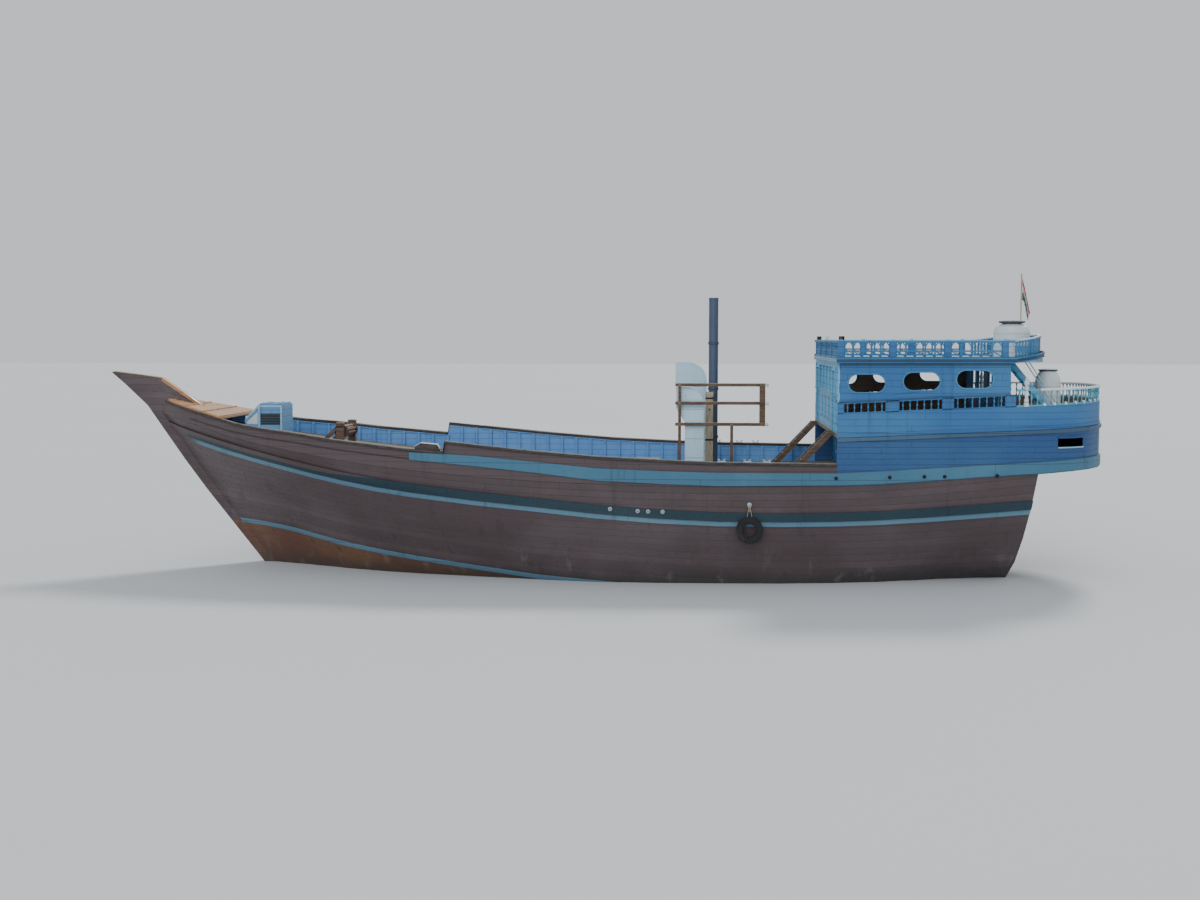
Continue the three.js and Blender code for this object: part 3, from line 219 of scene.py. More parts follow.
class Shape:
    """Closed bodies gathered into one mesh."""

    def __init__(self):
        self.points = []
        self.faces = []

    def rings(self, rings, loop=False):
        base, n = len(self.points), len(rings[0])
        for ring in rings:
            self.points += [tuple(p) for p in ring]
        count = len(rings)
        for i in range(count if loop else count - 1):
            a, b = base + i * n, base + (i + 1) % count * n
            self.faces += [(a + k, a + (k + 1) % n, b + (k + 1) % n, b + k) for k in range(n)]
        if not loop:
            last = base + (count - 1) * n
            self.faces.append(tuple(range(base + n - 1, base - 1, -1)))
            self.faces.append(tuple(range(last, last + n)))
        return self

    def box(self, x0, x1, y0, y1, z0, z1):
        return self.rings([[(x, y0, z0), (x, y1, z0), (x, y1, z1), (x, y0, z1)] for x in (x0, x1)])

    def bar(self, start, end, width, depth, up=(0, 0, 1)):
        """A square bar between two points, width across and depth along up."""
        a, b = Vector(start), Vector(end)
        run = (b - a).normalized()
        side = run.cross(Vector(up)).normalized()
        rise = side.cross(run)
        s, r = side * width / 2, rise * depth / 2
        return self.rings([[p - s - r, p + s - r, p + s + r, p - s + r] for p in (a, b)])

    def tube(self, points, radius, sides=10, loop=False):
        path = [Vector(p) for p in points]
        rings = []
        across = None
        for i, p in enumerate(path):
            before = path[i - 1] if i or loop else p
            after = path[(i + 1) % len(path)] if i + 1 < len(path) or loop else p
            run = (after - before).normalized()
            if across is None:
                across = run.cross(Vector((0.13, 0.21, 0.97))).normalized()
            across = (across - run * across.dot(run)).normalized()
            other = run.cross(across)
            r = radius[i] if isinstance(radius, list) else radius
            rings.append([p + across * r * u + other * r * v for u, v in circle(sides)])
        return self.rings(rings, loop)

    def hoop(self, centre, reach, wire, count=16, sides=6, axis="Z"):
        """A ring of wire round an axis. reach is its radius, or two."""
        a, b = reach if isinstance(reach, tuple) else (reach, reach)
        offsets = {"X": lambda u, v: (0, a * v, b * u), "Y": lambda u, v: (a * u, 0, b * v),
                   "Z": lambda u, v: (a * u, b * v, 0)}
        path = [Vector(centre) + Vector(offsets[axis](u, v)) for u, v in circle(count)]
        return self.tube(path, wire, sides, loop=True)

    def lathe(self, profile, base, sides=12, axis="Z"):
        """Rings of (radius, height) from a base point along an axis."""
        place = {"Z": lambda u, v, h: (u, v, h), "X": lambda u, v, h: (h, u, v),
                 "Y": lambda u, v, h: (v, h, u)}[axis]
        rings = [[Vector(base) + Vector(place(r * u, r * v, h)) for u, v in circle(sides, 0.5)]
                 for r, h in profile]
        return self.rings(rings)

    def wall(self, path, inner, outer, low, high):
        """A wall along a path of (x, y, normal), between two offsets and two heights or lines."""
        rings = []
        for x, y, nx, ny in path:
            def corner(d, h):
                return (x + nx * d, y + ny * d, h(x + nx * d) if callable(h) else h)
            rings.append([corner(outer, low), corner(outer, high), corner(inner, high), corner(inner, low)])
        return self.rings(rings)

    def mirror(self):
        """Adds the mirror image across the centreline."""
        base = len(self.points)
        self.faces += [tuple(reversed([base + i for i in f])) for f in self.faces]
        self.points += [(x, -y, z) for x, y, z in self.points]
        return self

    def make(self, name, material, body=BOAT, replaces=(), slot=None, bevel=0.0, smooth=35, segments=1):
        mesh = mesh_of(name, self.points, self.faces)
        work = bmesh.new()
        work.from_mesh(mesh)
        bmesh.ops.recalc_face_normals(work, faces=work.faces)
        work.to_mesh(mesh)
        work.free()
        mesh.materials.append(material)
        piece = placed(name, mesh)
        soften(piece, bevel, smooth, segments)
        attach(piece, body)
        if replaces:
            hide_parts(*replaces)
        return piece


def soften(piece, bevel, smooth=35, segments=1):
    """Rounds a piece's edges and shades what is nearly flat as smooth."""
    for face in piece.data.polygons:
        face.use_smooth = True
    if bevel:
        edge = piece.modifiers.new("edges", "BEVEL")
        edge.width = bevel
        edge.segments = segments
        edge.limit_method = "ANGLE"
        edge.angle_limit = math.radians(40)
    split = piece.modifiers.new("shading", "EDGE_SPLIT")
    split.split_angle = math.radians(smooth)


# Materials.


class Graph:
    """A material and short calls that add its nodes."""

    def __init__(self, name, rough, metal=0.0, specular=0.4):
        self.material = bpy.data.materials.new(name)
        self.material.use_nodes = True
        self.tree = self.material.node_tree
        self.shader = self.tree.nodes["Principled BSDF"]
        self.shader.inputs["Roughness"].default_value = rough
        self.shader.inputs["Metallic"].default_value = metal
        self.shader.inputs["Specular IOR Level"].default_value = specular
        where = self.node("TexCoord")
        self.place = where.outputs["Object"]
        split = self.node("SeparateXYZ", {0: self.place})
        self.x, self.y, self.z = split.outputs
        facing = self.node("SeparateXYZ", {0: where.outputs["Normal"]})
        self.normal = facing.outputs

    def node(self, kind, inputs=None, **settings):
        made = self.tree.nodes.new("ShaderNode" + kind)
        for key, value in settings.items():
            setattr(made, key, value)
        for key, value in (inputs or {}).items():
            self.put(made.inputs[key], value)
        return made

    def put(self, socket, value):
        if isinstance(value, bpy.types.NodeSocket):
            self.tree.links.new(value, socket)
        else:
            socket.default_value = value

    def math(self, operation, a, b=0.0, c=0.0):
        return self.node("Math", {0: a, 1: b, 2: c}, operation=operation).outputs[0]

    def blend(self, share, a, b):
        colours = [(*v, 1) if isinstance(v, tuple) and len(v) == 3 else v for v in (a, b)]
        mixed = self.node("Mix", {0: share, 6: colours[0], 7: colours[1]}, data_type="RGBA")
        return mixed.outputs[2]

    def step(self, value, start, end, low=0.0, high=1.0):
        """Goes smoothly from low to high while value goes from start to end."""
        inputs = {0: value, 1: start, 2: end, 3: low, 4: high}
        return self.node("MapRange", inputs, interpolation_type="SMOOTHSTEP").outputs[0]

    def scaled(self, x, y, z):
        return self.node("VectorMath", {0: self.place, 1: (x, y, z)}, operation="MULTIPLY").outputs[0]

    def noise(self, vector, scale=1.0, detail=3.0, rough=0.55, distortion=0.0):
        values = {"Scale": scale, "Detail": detail, "Roughness": rough, "Distortion": distortion}
        return self.node("TexNoise", {"Vector": vector, **values}).outputs[0]

    def curve(self, x, table):
        """Height at x on a table, as a node."""
        (x0, x1), heights = (table[0][0], table[-1][0]), [row[1] for row in table]
        z0, z1 = min(heights), max(heights)
        share = self.node("MapRange", {0: x, 1: x0, 2: x1, 3: 0.0, 4: 1.0}).outputs[0]
        shaped = self.node("FloatCurve", {1: share})
        points = shaped.mapping.curves[0].points
        spots = [((a - x0) / (x1 - x0), (b - z0) / (z1 - z0)) for a, b in table]
        while len(points) < len(spots):
            points.new(0.5, 0.5)
        for point, spot in zip(points, spots):
            point.location = spot
            point.handle_type = "AUTO"
        shaped.mapping.update()
        return self.math("MULTIPLY_ADD", shaped.outputs[0], z1 - z0, z0)

    def random(self, number):
        return self.node("TexWhiteNoise", {"W": number}, noise_dimensions="1D").outputs[0]

    def seams(self, across, width, gap=0.012):
        """Plank number and a mask that is 1 in the seams between planks."""
        rows = self.math("DIVIDE", across, width)
        number = self.math("FLOOR", rows)
        part = self.math("FRACT", rows)
        edge = self.math("MINIMUM", part, self.math("SUBTRACT", 1.0, part))
        return number, self.step(edge, gap / width, 0.0)

    def butts(self, run, number, length, gap=0.01):
        """A mask that is 1 in the joints across planks."""
        shift = self.math("MULTIPLY", self.random(number), 7.0)
        part = self.math("FRACT", self.math("ADD", self.math("DIVIDE", run, length), shift))
        edge = self.math("MINIMUM", part, self.math("SUBTRACT", 1.0, part))
        return self.step(edge, gap / length, 0.0)

    def bump(self, height, strength, distance):
        inputs = {"Height": height, "Strength": strength, "Distance": distance}
        self.put(self.shader.inputs["Normal"], self.node("Bump", inputs).outputs[0])

    def done(self, colour, rough=None):
        self.put(self.shader.inputs["Base Color"], colour)
        if rough is not None:
            self.put(self.shader.inputs["Roughness"], rough)
        return self.material


def worn(g, base, faded, grime, fade=0.55, dirt=0.5, streak=1.0):
    """Paint colour with fading, runs of dirt and fine mottling."""
    broad = g.noise(g.scaled(0.35, 0.35, 0.6), 1.0, 4.0)
    runs = g.noise(g.scaled(2.6, 2.6, 0.16), 1.0, 5.0, 0.6)
    fine = g.noise(g.scaled(3.0, 9.0, 9.0), 2.0, 5.0, 0.65)
    colour = g.blend(g.step(broad, 0.42, 0.68, 0.0, fade), base, faded)
    colour = g.blend(g.step(runs, 0.56, 0.74, 0.0, dirt * streak), colour, grime)
    return g.blend(g.step(fine, 0.55, 0.8, 0.0, dirt * 0.6), colour, grime), fine


def boards(name, base, faded, grime, across="z", run="x", width=0.2, rough=0.55, length=5.0, fade=0.55,
           dirt=0.5, top=None, tone=0.16, seam=0.7):
    """Painted or bare planks. across and run name the axes over and along the planks."""
    g = Graph(name, rough)
    axis = {"x": g.x, "y": g.y, "z": g.z}
    number, seam_mask = g.seams(axis[across], width)
    joint = g.butts(axis[run], number, length)
    gaps = g.math("MAXIMUM", seam_mask, joint)
    colour, fine = worn(g, base, faded, grime, fade, dirt)
    shade = g.step(g.random(number), 0.0, 1.0, 0.0, tone)
    colour = g.blend(shade, colour, grime)
    # Faces turned up take the top colour: a painted highlight.
    if top:
        colour = g.blend(g.step(g.normal[2], 0.75, 0.95, 0.0, 0.85), colour, top)
    colour = g.blend(g.math("MULTIPLY", gaps, seam), colour, tuple(c * 0.3 for c in grime))
    height = g.math("SUBTRACT", g.math("MULTIPLY", fine, 0.25), gaps)
    g.bump(height, 0.6, 0.008)
    return g.done(colour, g.step(fine, 0.3, 0.8, rough - 0.1, rough + 0.2))


LOW_DARK, SALT, SEAM_DARK = (0.03, 0.035, 0.03), (0.24, 0.22, 0.2), (0.02, 0.014, 0.013)
HULL_PLANKS, PLANK_LONG = 16.0, 6.5


def hull_paint():
    """Brown topsides over an orange-brown bottom, with planks that follow the sheer."""
    g = Graph("hull_paint", 0.6)
    low, high = g.curve(g.x, LOW_STRIPE), g.curve(g.x, DECK_LINE)
    share = g.math("DIVIDE", g.math("SUBTRACT", g.z, low), g.math("SUBTRACT", high, low))
    number, seam = g.seams(g.math("MULTIPLY", share, HULL_PLANKS), 1.0, 0.045)
    joint = g.butts(g.x, number, PLANK_LONG, 0.012)
    gaps = g.math("MAXIMUM", seam, joint)
    colour, fine = worn(g, BROWN, BROWN_FADED, BROWN_DARK, 0.8, 0.55)
    bottom, _ = worn(g, ORANGE_BROWN, (0.17, 0.085, 0.045), (0.045, 0.035, 0.028), 0.8, 0.8)
    colour = g.blend(g.step(g.math("SUBTRACT", g.z, low), -0.02, 0.02), bottom, colour)
    colour = g.blend(g.step(g.random(number), 0.0, 1.0, 0.0, 0.3), colour, BROWN_DARK)
    # Darker towards the bottom, below about 0.75 m, with a rippled upper edge.
    ripple = g.math("MULTIPLY", g.noise(g.scaled(0.7, 0.7, 0.7), 1.0), 0.35)
    low_band = g.step(g.math("ADD", g.z, ripple), 0.75, 0.2)
    colour = g.blend(g.math("MULTIPLY", low_band, 0.5), colour, LOW_DARK)
    salt = g.noise(g.scaled(1.8, 1.8, 0.35), 1.0, 6.0, 0.7)
    salted = g.math("MULTIPLY", g.step(salt, 0.55, 0.72, 0.0, 0.35), g.step(g.z, 1.6, 0.4))
    colour = g.blend(salted, colour, SALT)
    colour = g.blend(g.math("MULTIPLY", gaps, 0.35), colour, SEAM_DARK)
    lumps = g.noise(g.scaled(0.8, 0.8, 1.4), 1.0, 3.0)
    height = g.math("ADD", g.math("MULTIPLY", fine, 0.2), g.math("MULTIPLY", lumps, 2.0))
    g.bump(g.math("SUBTRACT", height, gaps), 0.7, 0.01)
    return g.done(colour, g.step(fine, 0.3, 0.8, 0.42, 0.75))


def two_sided(name, outside, inside, fade=0.6, dirt=0.45):
    """Boards with one colour outboard and another inboard."""
    g = Graph(name, 0.55)
    number, seam = g.seams(g.z, 0.21)
    gaps = g.math("MAXIMUM", seam, g.butts(g.x, number, 5.0))
    out_colour, fine = worn(g, *outside, fade, dirt)
    in_colour, _ = worn(g, *inside, fade, dirt)
    sideways = g.math("MULTIPLY", g.normal[1], g.y)
    outboard = g.step(g.math("MULTIPLY_ADD", g.normal[0], g.math("ADD", g.x, 10.0), sideways), 0.0, 0.1)
    colour = g.blend(outboard, in_colour, out_colour)
    colour = g.blend(g.math("MULTIPLY", gaps, 0.6), colour, (0.02, 0.02, 0.03))
    g.bump(g.math("SUBTRACT", g.math("MULTIPLY", fine, 0.25), gaps), 0.6, 0.008)
    return g.done(colour)


def wale_look(name, base, faded, grime, table, start, widths, end):
    """Painted strake that is dark for part of its height and gives way to bare brown near the stem."""
    g = Graph(name, 0.6)
    height = g.math("SUBTRACT", g.z, g.curve(g.x, table))
    reach = g.step(g.x, 7.5, 10.5, *widths)
    paint, fine = worn(g, base, faded, grime)
    bare, _ = worn(g, BROWN, BROWN_FADED, BROWN_DARK, 0.8, 0.55)
    share = g.math("MULTIPLY", g.step(g.math("SUBTRACT", height, reach), start + 0.01, start),
                   g.step(g.x, end + 0.35, end - 0.35))
    joint = g.butts(g.x, g.math("MULTIPLY", g.x, 0.0), 6.0)
    colour = g.blend(share, bare, paint)
    colour = g.blend(g.math("MULTIPLY", joint, 0.5), colour, tuple(c * 0.3 for c in grime))
    g.bump(g.math("SUBTRACT", g.math("MULTIPLY", fine, 0.25), joint), 0.6, 0.008)
    return g.done(colour, g.step(fine, 0.3, 0.8, 0.5, 0.8))


def flag_look():
    """Three bands of thin woven cloth, by the flag's own flat coordinates."""
    g = Graph("flag_cloth", 0.85, specular=0.2)
    flat = g.node("SeparateXYZ", {0: g.node("UVMap", uv_map="flat").outputs[0]})
    across, down = flat.outputs[0], flat.outputs[1]
    colour = g.blend(g.step(down, 0.33, 0.34), FLAG_RED, FLAG_WHITE)
    colour = g.blend(g.step(down, 0.66, 0.67), colour, FLAG_GREEN)
    sun = g.noise(g.scaled(2.0, 2.0, 3.0), 1.0, 4.0)
    colour = g.blend(g.step(sun, 0.45, 0.7, 0.0, 0.35), colour, (0.3, 0.28, 0.27))
    hem = g.step(g.math("MINIMUM", down, g.math("SUBTRACT", 1.0, down)), 0.02, 0.014)
    sleeve = g.math("MAXIMUM", hem, g.step(across, 0.03, 0.022))
    colour = g.blend(g.math("MULTIPLY", sleeve, 0.3), colour, (0.05, 0.05, 0.05))
    weave = g.math("MULTIPLY", g.math("SINE", g.math("MULTIPLY", across, 1400.0)),
                   g.math("SINE", g.math("MULTIPLY", down, 900.0)))
    g.bump(g.math("ADD", weave, g.math("MULTIPLY", sun, 2.0)), 0.25, 0.002)
    g.shader.inputs["Sheen Weight"].default_value = 0.3
    return g.done(colour)


def grained(name, base, dark, rough=0.5, stretch=(1.2, 9.0, 9.0), coat=0.0, top=None):
    """Bare or oiled timber with grain along one axis; a top colour, if given, paints a highlight on faces
    turned up.
    """
    g = Graph(name, rough)
    g.shader.inputs["Coat Weight"].default_value = coat
    g.shader.inputs["Coat Roughness"].default_value = 0.25
    rings = g.noise(g.scaled(*stretch), 2.5, 6.0, 0.6, 0.8)
    spots = g.noise(g.scaled(1.0, 1.0, 1.0), 1.3, 4.0)
    colour = g.blend(g.step(rings, 0.35, 0.7), base, dark)
    colour = g.blend(g.step(spots, 0.5, 0.75, 0.0, 0.5), colour, tuple(c * 0.6 for c in dark))
    # Faces turned up take the top colour: a painted highlight.
    if top:
        colour = g.blend(g.step(g.normal[2], 0.75, 0.95, 0.0, 0.7), colour, top)
    g.bump(rings, 0.4, 0.006)
    return g.done(colour, g.step(rings, 0.3, 0.7, rough - 0.08, rough + 0.15))


def metal_paint(name, base, rust, rough=0.45, metal=0.0, amount=0.5):
    """Painted or bare metal with rust in patches and runs."""
    g = Graph(name, rough, metal)
    patches = g.noise(g.scaled(1.6, 1.6, 0.8), 1.8, 7.0, 0.7)
    runs = g.noise(g.scaled(6.0, 6.0, 0.4), 1.0, 5.0, 0.6)
    mottling = g.noise(g.scaled(9.0, 9.0, 9.0), 2.0, 4.0)
    colour = g.blend(g.step(mottling, 0.4, 0.7, 0.0, 0.25), base, tuple(c * 0.7 for c in base))
    colour = g.blend(g.step(patches, 0.6, 0.68, 0.0, amount), colour, rust)
    colour = g.blend(g.step(runs, 0.6, 0.8, 0.0, amount * 0.8), colour, rust)
    g.bump(g.math("ADD", patches, g.math("MULTIPLY", mottling, 0.3)), 0.35, 0.006)
    return g.done(colour, g.step(patches, 0.5, 0.7, rough, rough + 0.3))


BROWN = (0.083, 0.058, 0.062)
BROWN_FADED = (0.112, 0.084, 0.09)
BROWN_DARK = (0.043, 0.032, 0.036)
ORANGE_BROWN = (0.115, 0.052, 0.034)
FLAG_RED, FLAG_WHITE, FLAG_GREEN = (0.55, 0.06, 0.08), (0.7, 0.7, 0.7), (0.035, 0.17, 0.11)

hull_material = hull_paint()
STRIPE_COLOURS = ((0.1, 0.2, 0.28), (0.15, 0.26, 0.33), (0.04, 0.07, 0.1))
low_stripe = boards("stripe_paint", *STRIPE_COLOURS, width=0.5, length=6)
mid_stripe = wale_look("mid_stripe_paint", *STRIPE_COLOURS, MID_STRIPE, 0.0, (0.2, 0.2), 15.05)
WALE_COLOURS = ((0.014, 0.038, 0.055), (0.025, 0.055, 0.072), (0.01, 0.018, 0.025))
wale_paint = wale_look("wale_paint", *WALE_COLOURS, MID_STRIPE, 0.085, (0.3, 0.13), 15.4)
# Dark blue of the poop's moulding, darkened to paint the shadow line there as well, and of thin strips of
# painted shadow on the wheelhouse and along the band.
mould_and_shadow_paint = boards("moulding_and_shadow_paint", (0.05, 0.1, 0.17), (0.08, 0.14, 0.22), (0.02, 0.04, 0.065), width=0.5)
LINE_COLOURS = ((0.03, 0.026, 0.03), (0.05, 0.045, 0.05), (0.012, 0.011, 0.013))
dark_line = boards("dark_line_paint", *LINE_COLOURS, width=0.5)
BAND_COLOURS = ((0.05, 0.165, 0.26), (0.08, 0.215, 0.31), (0.02, 0.06, 0.095))
band_paint = boards("band_paint", *BAND_COLOURS, width=0.5, length=6)
navy = boards("navy_paint", (0.022, 0.085, 0.23), (0.04, 0.125, 0.27), (0.012, 0.035, 0.09), width=0.19)
ROYAL_COLOURS = ((0.03, 0.14, 0.35), (0.055, 0.2, 0.4), (0.015, 0.055, 0.13))
royal = boards("royal_paint", *ROYAL_COLOURS, width=0.2)
flag_cloth = flag_look()
light = boards("light_paint", (0.13, 0.41, 0.66), (0.2, 0.51, 0.73), (0.05, 0.16, 0.27), width=0.24)
sky_blue = boards("sky_blue_paint", (0.1, 0.28, 0.53), (0.17, 0.37, 0.6), (0.035, 0.11, 0.21), width=0.24)
fascia_paint = boards("fascia_paint", (0.02, 0.06, 0.13), (0.035, 0.09, 0.165), (0.01, 0.025, 0.05))
# Slats darkened as painted shade inside the companion's recess.
shaded_slat_paint = boards("shaded_slat_paint", (0.03, 0.07, 0.11), (0.05, 0.1, 0.15), (0.015, 0.03, 0.045), width=0.1)
SHADOW_COLOURS = ((0.02, 0.03, 0.035), (0.035, 0.045, 0.05), (0.01, 0.01, 0.012))
shadow_paint = boards("shadow_paint", *SHADOW_COLOURS, width=0.1)
roof_deck = boards("roof_paint", (0.17, 0.4, 0.56), (0.28, 0.5, 0.62), (0.08, 0.14, 0.18), across="y")
POOP_INSIDE = ((0.2, 0.13, 0.1), (0.3, 0.2, 0.15), (0.06, 0.045, 0.04))
poop_paint = two_sided("poop_bulwark_paint", ROYAL_COLOURS, POOP_INSIDE)
house_paint = two_sided("wheelhouse_paint", ROYAL_COLOURS, POOP_INSIDE)
bulwark_paint = two_sided(
    "bulwark_paint", (BROWN, BROWN_FADED, BROWN_DARK),
    ((0.115, 0.3, 0.66), (0.17, 0.38, 0.71), (0.045, 0.12, 0.25)),
)
WHITE_COLOURS = ((0.62, 0.7, 0.74), (0.74, 0.78, 0.78), (0.24, 0.26, 0.26))
white_paint = boards("white_paint", *WHITE_COLOURS, width=0.5, dirt=0.35)
deck_planks = boards("deck_planks", (0.26, 0.2, 0.14), (0.36, 0.3, 0.23), (0.08, 0.06, 0.045), across="y",
                     width=0.15, rough=0.75, length=5.5, dirt=0.8, tone=0.35)
# The top colour paints a highlight on the cap's upper face.
cap_wood = grained("cap_wood", (0.06, 0.045, 0.038), (0.025, 0.02, 0.018), 0.6, top=(0.2, 0.19, 0.18))
varnish = grained("varnished_wood", (0.55, 0.28, 0.11), (0.3, 0.13, 0.045), 0.4, coat=0.4)
# The top colour paints a highlight on faces turned up.
brown_wood = grained("brown_wood", (0.15, 0.09, 0.055), (0.07, 0.042, 0.028), 0.65, top=(0.22, 0.17, 0.13))
post_wood = grained("post_wood", (0.5, 0.42, 0.31), (0.3, 0.23, 0.15), 0.7, stretch=(9.0, 9.0, 1.2))
aqua = metal_paint("aqua_steel", (0.53, 0.73, 0.85), (0.2, 0.15, 0.11), 0.4, amount=0.25)
black_steel = metal_paint("black_steel", (0.016, 0.017, 0.022), (0.06, 0.035, 0.022), 0.5, 0.3, 0.35)
tank_plastic = metal_paint("tank_plastic", (0.66, 0.71, 0.72), (0.3, 0.3, 0.27), 0.4, amount=0.25)
lid_plastic = metal_paint("lid_plastic", (0.05, 0.06, 0.08), (0.12, 0.12, 0.12), 0.5, amount=0.3)
bronze = metal_paint("bronze", (0.42, 0.29, 0.12), (0.1, 0.16, 0.12), 0.35, 0.9, 0.4)
rubber = metal_paint("fender_rubber", (0.018, 0.018, 0.019), (0.06, 0.06, 0.06), 0.85, amount=0.4)
rope_fibre = grained("rope_fibre", (0.32, 0.27, 0.2), (0.16, 0.13, 0.1), 0.9, stretch=(30.0, 30.0, 30.0))

pale_blue = boards("pale_blue_paint", (0.33, 0.56, 0.68), (0.45, 0.64, 0.72), (0.1, 0.17, 0.22), width=0.3)
rail_blue = boards("rail_paint", (0.04, 0.18, 0.36), (0.07, 0.24, 0.42), (0.02, 0.07, 0.13), width=0.3)
teal = boards("teal_paint", (0.08, 0.33, 0.45), (0.14, 0.42, 0.52), (0.03, 0.1, 0.14), width=0.3)
rim_paint = boards("rim_paint", (0.05, 0.2, 0.4), (0.09, 0.27, 0.46), (0.02, 0.07, 0.14), width=0.3)
timber_blue = boards("timber_blue", (0.105, 0.285, 0.62), (0.155, 0.36, 0.67), (0.045, 0.12, 0.24), width=0.4)
# Pale grey that paints a highlight along the rail caps' outer edges and the ladders' upper edges.
edge_highlight = grained("edge_highlight", (0.2, 0.21, 0.22), (0.1, 0.1, 0.1), 0.6)
pale_metal = metal_paint("galvanised", (0.42, 0.44, 0.45), (0.2, 0.13, 0.08), 0.5, 0.3, 0.35)
# The top colour paints a highlight on faces turned up.
faded_varnish = grained("faded_varnish", (0.3, 0.2, 0.12), (0.17, 0.1, 0.06), 0.55, top=(0.42, 0.33, 0.22))
lamp_red = metal_paint("lamp_red", (0.16, 0.015, 0.015), (0.1, 0.02, 0.02), 0.2, amount=0.1)
lamp_green = metal_paint("lamp_green", (0.02, 0.22, 0.08), (0.02, 0.08, 0.04), 0.2, amount=0.1)
lamp_clear = metal_paint("lamp_clear", (0.6, 0.62, 0.6), (0.3, 0.3, 0.28), 0.2, amount=0.1)
aqua_dark = metal_paint("aqua_seams", (0.24, 0.38, 0.41), (0.1, 0.12, 0.12), 0.5, amount=0.3)
stack_paint = metal_paint("stack_paint", (0.07, 0.095, 0.155), (0.11, 0.08, 0.07), 0.5, 0.1, 0.35)
# Pale grey-brown that paints a highlight on the rack bars' tops.
bar_top_highlight = grained("bar_top_highlight_wood", (0.36, 0.33, 0.3), (0.2, 0.17, 0.14), 0.7)

# Materials of the parts from model.glb, by name.
LOOKS = {
    "hull": hull_material, "keel": hull_material, "stem_post": hull_material, "counter": hull_material,
    "rudder": hull_material, "main_deck": deck_planks, "upper_deck": deck_planks,
    "hatch_boards": deck_planks, "poop_side": navy, "poop_front": royal, "poop_door": light,
    "poop_moulding": mould_and_shadow_paint, "poop_bulwark": poop_paint, "stern_band": band_paint, "roof": roof_deck,
    "roof_fascia": fascia_paint, "wheelhouse_front": light, "wheelhouse_aft": royal, "companion": sky_blue,
    "companion_lid": sky_blue, "stem_platform": varnish, "samson_post": post_wood, "flagstaff": post_wood,
    "exhaust_stack": stack_paint, "propeller": bronze, "tyre_fender": rubber, "aft_ladder": light,
    "windlass_posts": brown_wood, "windlass_drum": brown_wood, "hatch_coaming": brown_wood,
    "rack": brown_wood, "steering_pedestal": brown_wood, "steering_wheel": brown_wood,
    "cowl_port": aqua, "cowl_starboard": aqua, "roof_tank": tank_plastic, "gallery_tank": tank_plastic,
    "flag": flag_cloth, "roof_rail": light, "gallery_rail": white_paint,
}
for side in ("port", "starboard"):
    LOOKS.update({
        f"low_stripe_{side}": low_stripe, f"mid_stripe_{side}": mid_stripe, f"wale_{side}": wale_paint,
        f"band_{side}": band_paint, f"bulwark_{side}": bulwark_paint, f"rail_cap_{side}": cap_wood,
        f"roof_rail_aft_{side}": light, f"side_balusters_{side}": royal,
        f"wheelhouse_side_{side}": house_paint, f"deck_ladder_{side}": brown_wood,
    })
SMOOTH_ONLY = {"hull", "keel", "propeller", "steering_wheel", "tyre_fender", "roof_tank", "gallery_tank"}
for name, node in NODES.items():
    node.data.materials.clear()
    node.data.materials.append(LOOKS[name])
    weld = node.modifiers.new("weld", "WELD")
    weld.merge_threshold = 0.0002
    soften(node, 0 if name in SMOOTH_ONLY else 0.006)


# Roof rail: posts, rails and pierced panels.


ROOF_FRONT, FRONT_HALF = -7.23, 4.33
RAIL_INSET = 0.105
ROOF_POSTS = (-7.3, -8.97, -10.74, -12.6)
FRONT_POSTS = (-2.15, 0, 2.15)
RAIL_FOOT, FOOT_TOP = 7.4203, 7.485
HEAD_LOW, CAP_LOW, RAIL_HEAD = 7.925, 7.985, 8.01
PANEL_FOOT, PANEL_HEAD, BRACE = 7.48, 7.93, 0.13
FRET_BAR, FRET_THICK = 0.055, 0.034
FLAT_BALUSTER = [(7.47, 0.045), (7.52, 0.045), (7.56, 0.028), (7.66, 0.05), (7.78, 0.05)]


def roof_side(x):
    """Middle of the roof rail's port side."""
    return along(ROOF_SIDE[::-1], x) - RAIL_INSET


def fret(shape, a, b, normal, cells):
    """A pierced panel between two points of a rail: crossed below, braced at the corners above."""
    a, b = Vector(a), Vector(b)
    low, high, drop = PANEL_FOOT, PANEL_HEAD, PANEL_HEAD - BRACE
    middle = low + 0.4 * (high - low)
    for k in range(cells + 1):
        p = a.lerp(b, k / cells)
        shape.bar((p.x, p.y, low), (p.x, p.y, high), FRET_BAR, FRET_THICK, normal)
    shape.bar((a.x, a.y, middle), (b.x, b.y, middle), FRET_THICK, FRET_BAR)
    for k in range(cells):
        p, q = a.lerp(b, k / cells), a.lerp(b, (k + 1) / cells)
        slants = ((p, middle, q, low), (p, drop, p.lerp(q, 0.3), high), (q, drop, q.lerp(p, 0.3), high))
        for start, z0, end, z1 in slants:
            shape.bar((start.x, start.y, z0), (end.x, end.y, z1), FRET_THICK, FRET_BAR * 0.7, normal)


def roof_front(rails, posts, pale):
    x, half = ROOF_FRONT, FRONT_HALF
    ends = (-half + 0.03, *FRONT_POSTS, half - 0.03)
    rails.box(x - 0.04, x + 0.04, -half, half, RAIL_FOOT, FOOT_TOP)
    rails.box(x - 0.05, x + 0.05, -half, half, HEAD_LOW, CAP_LOW)
    pale.box(x - 0.065, x + 0.065, -half - 0.03, half + 0.03, CAP_LOW, RAIL_HEAD)
    for y0, y1 in zip(ends, ends[1:]):
        fret(rails, (x, y0 + 0.08, 0), (x, y1 - 0.08, 0), (1, 0, 0), 6)
    for y in FRONT_POSTS:
        posts.box(x - 0.06, x + 0.06, y - 0.07, y + 0.07, RAIL_FOOT, 8.0)


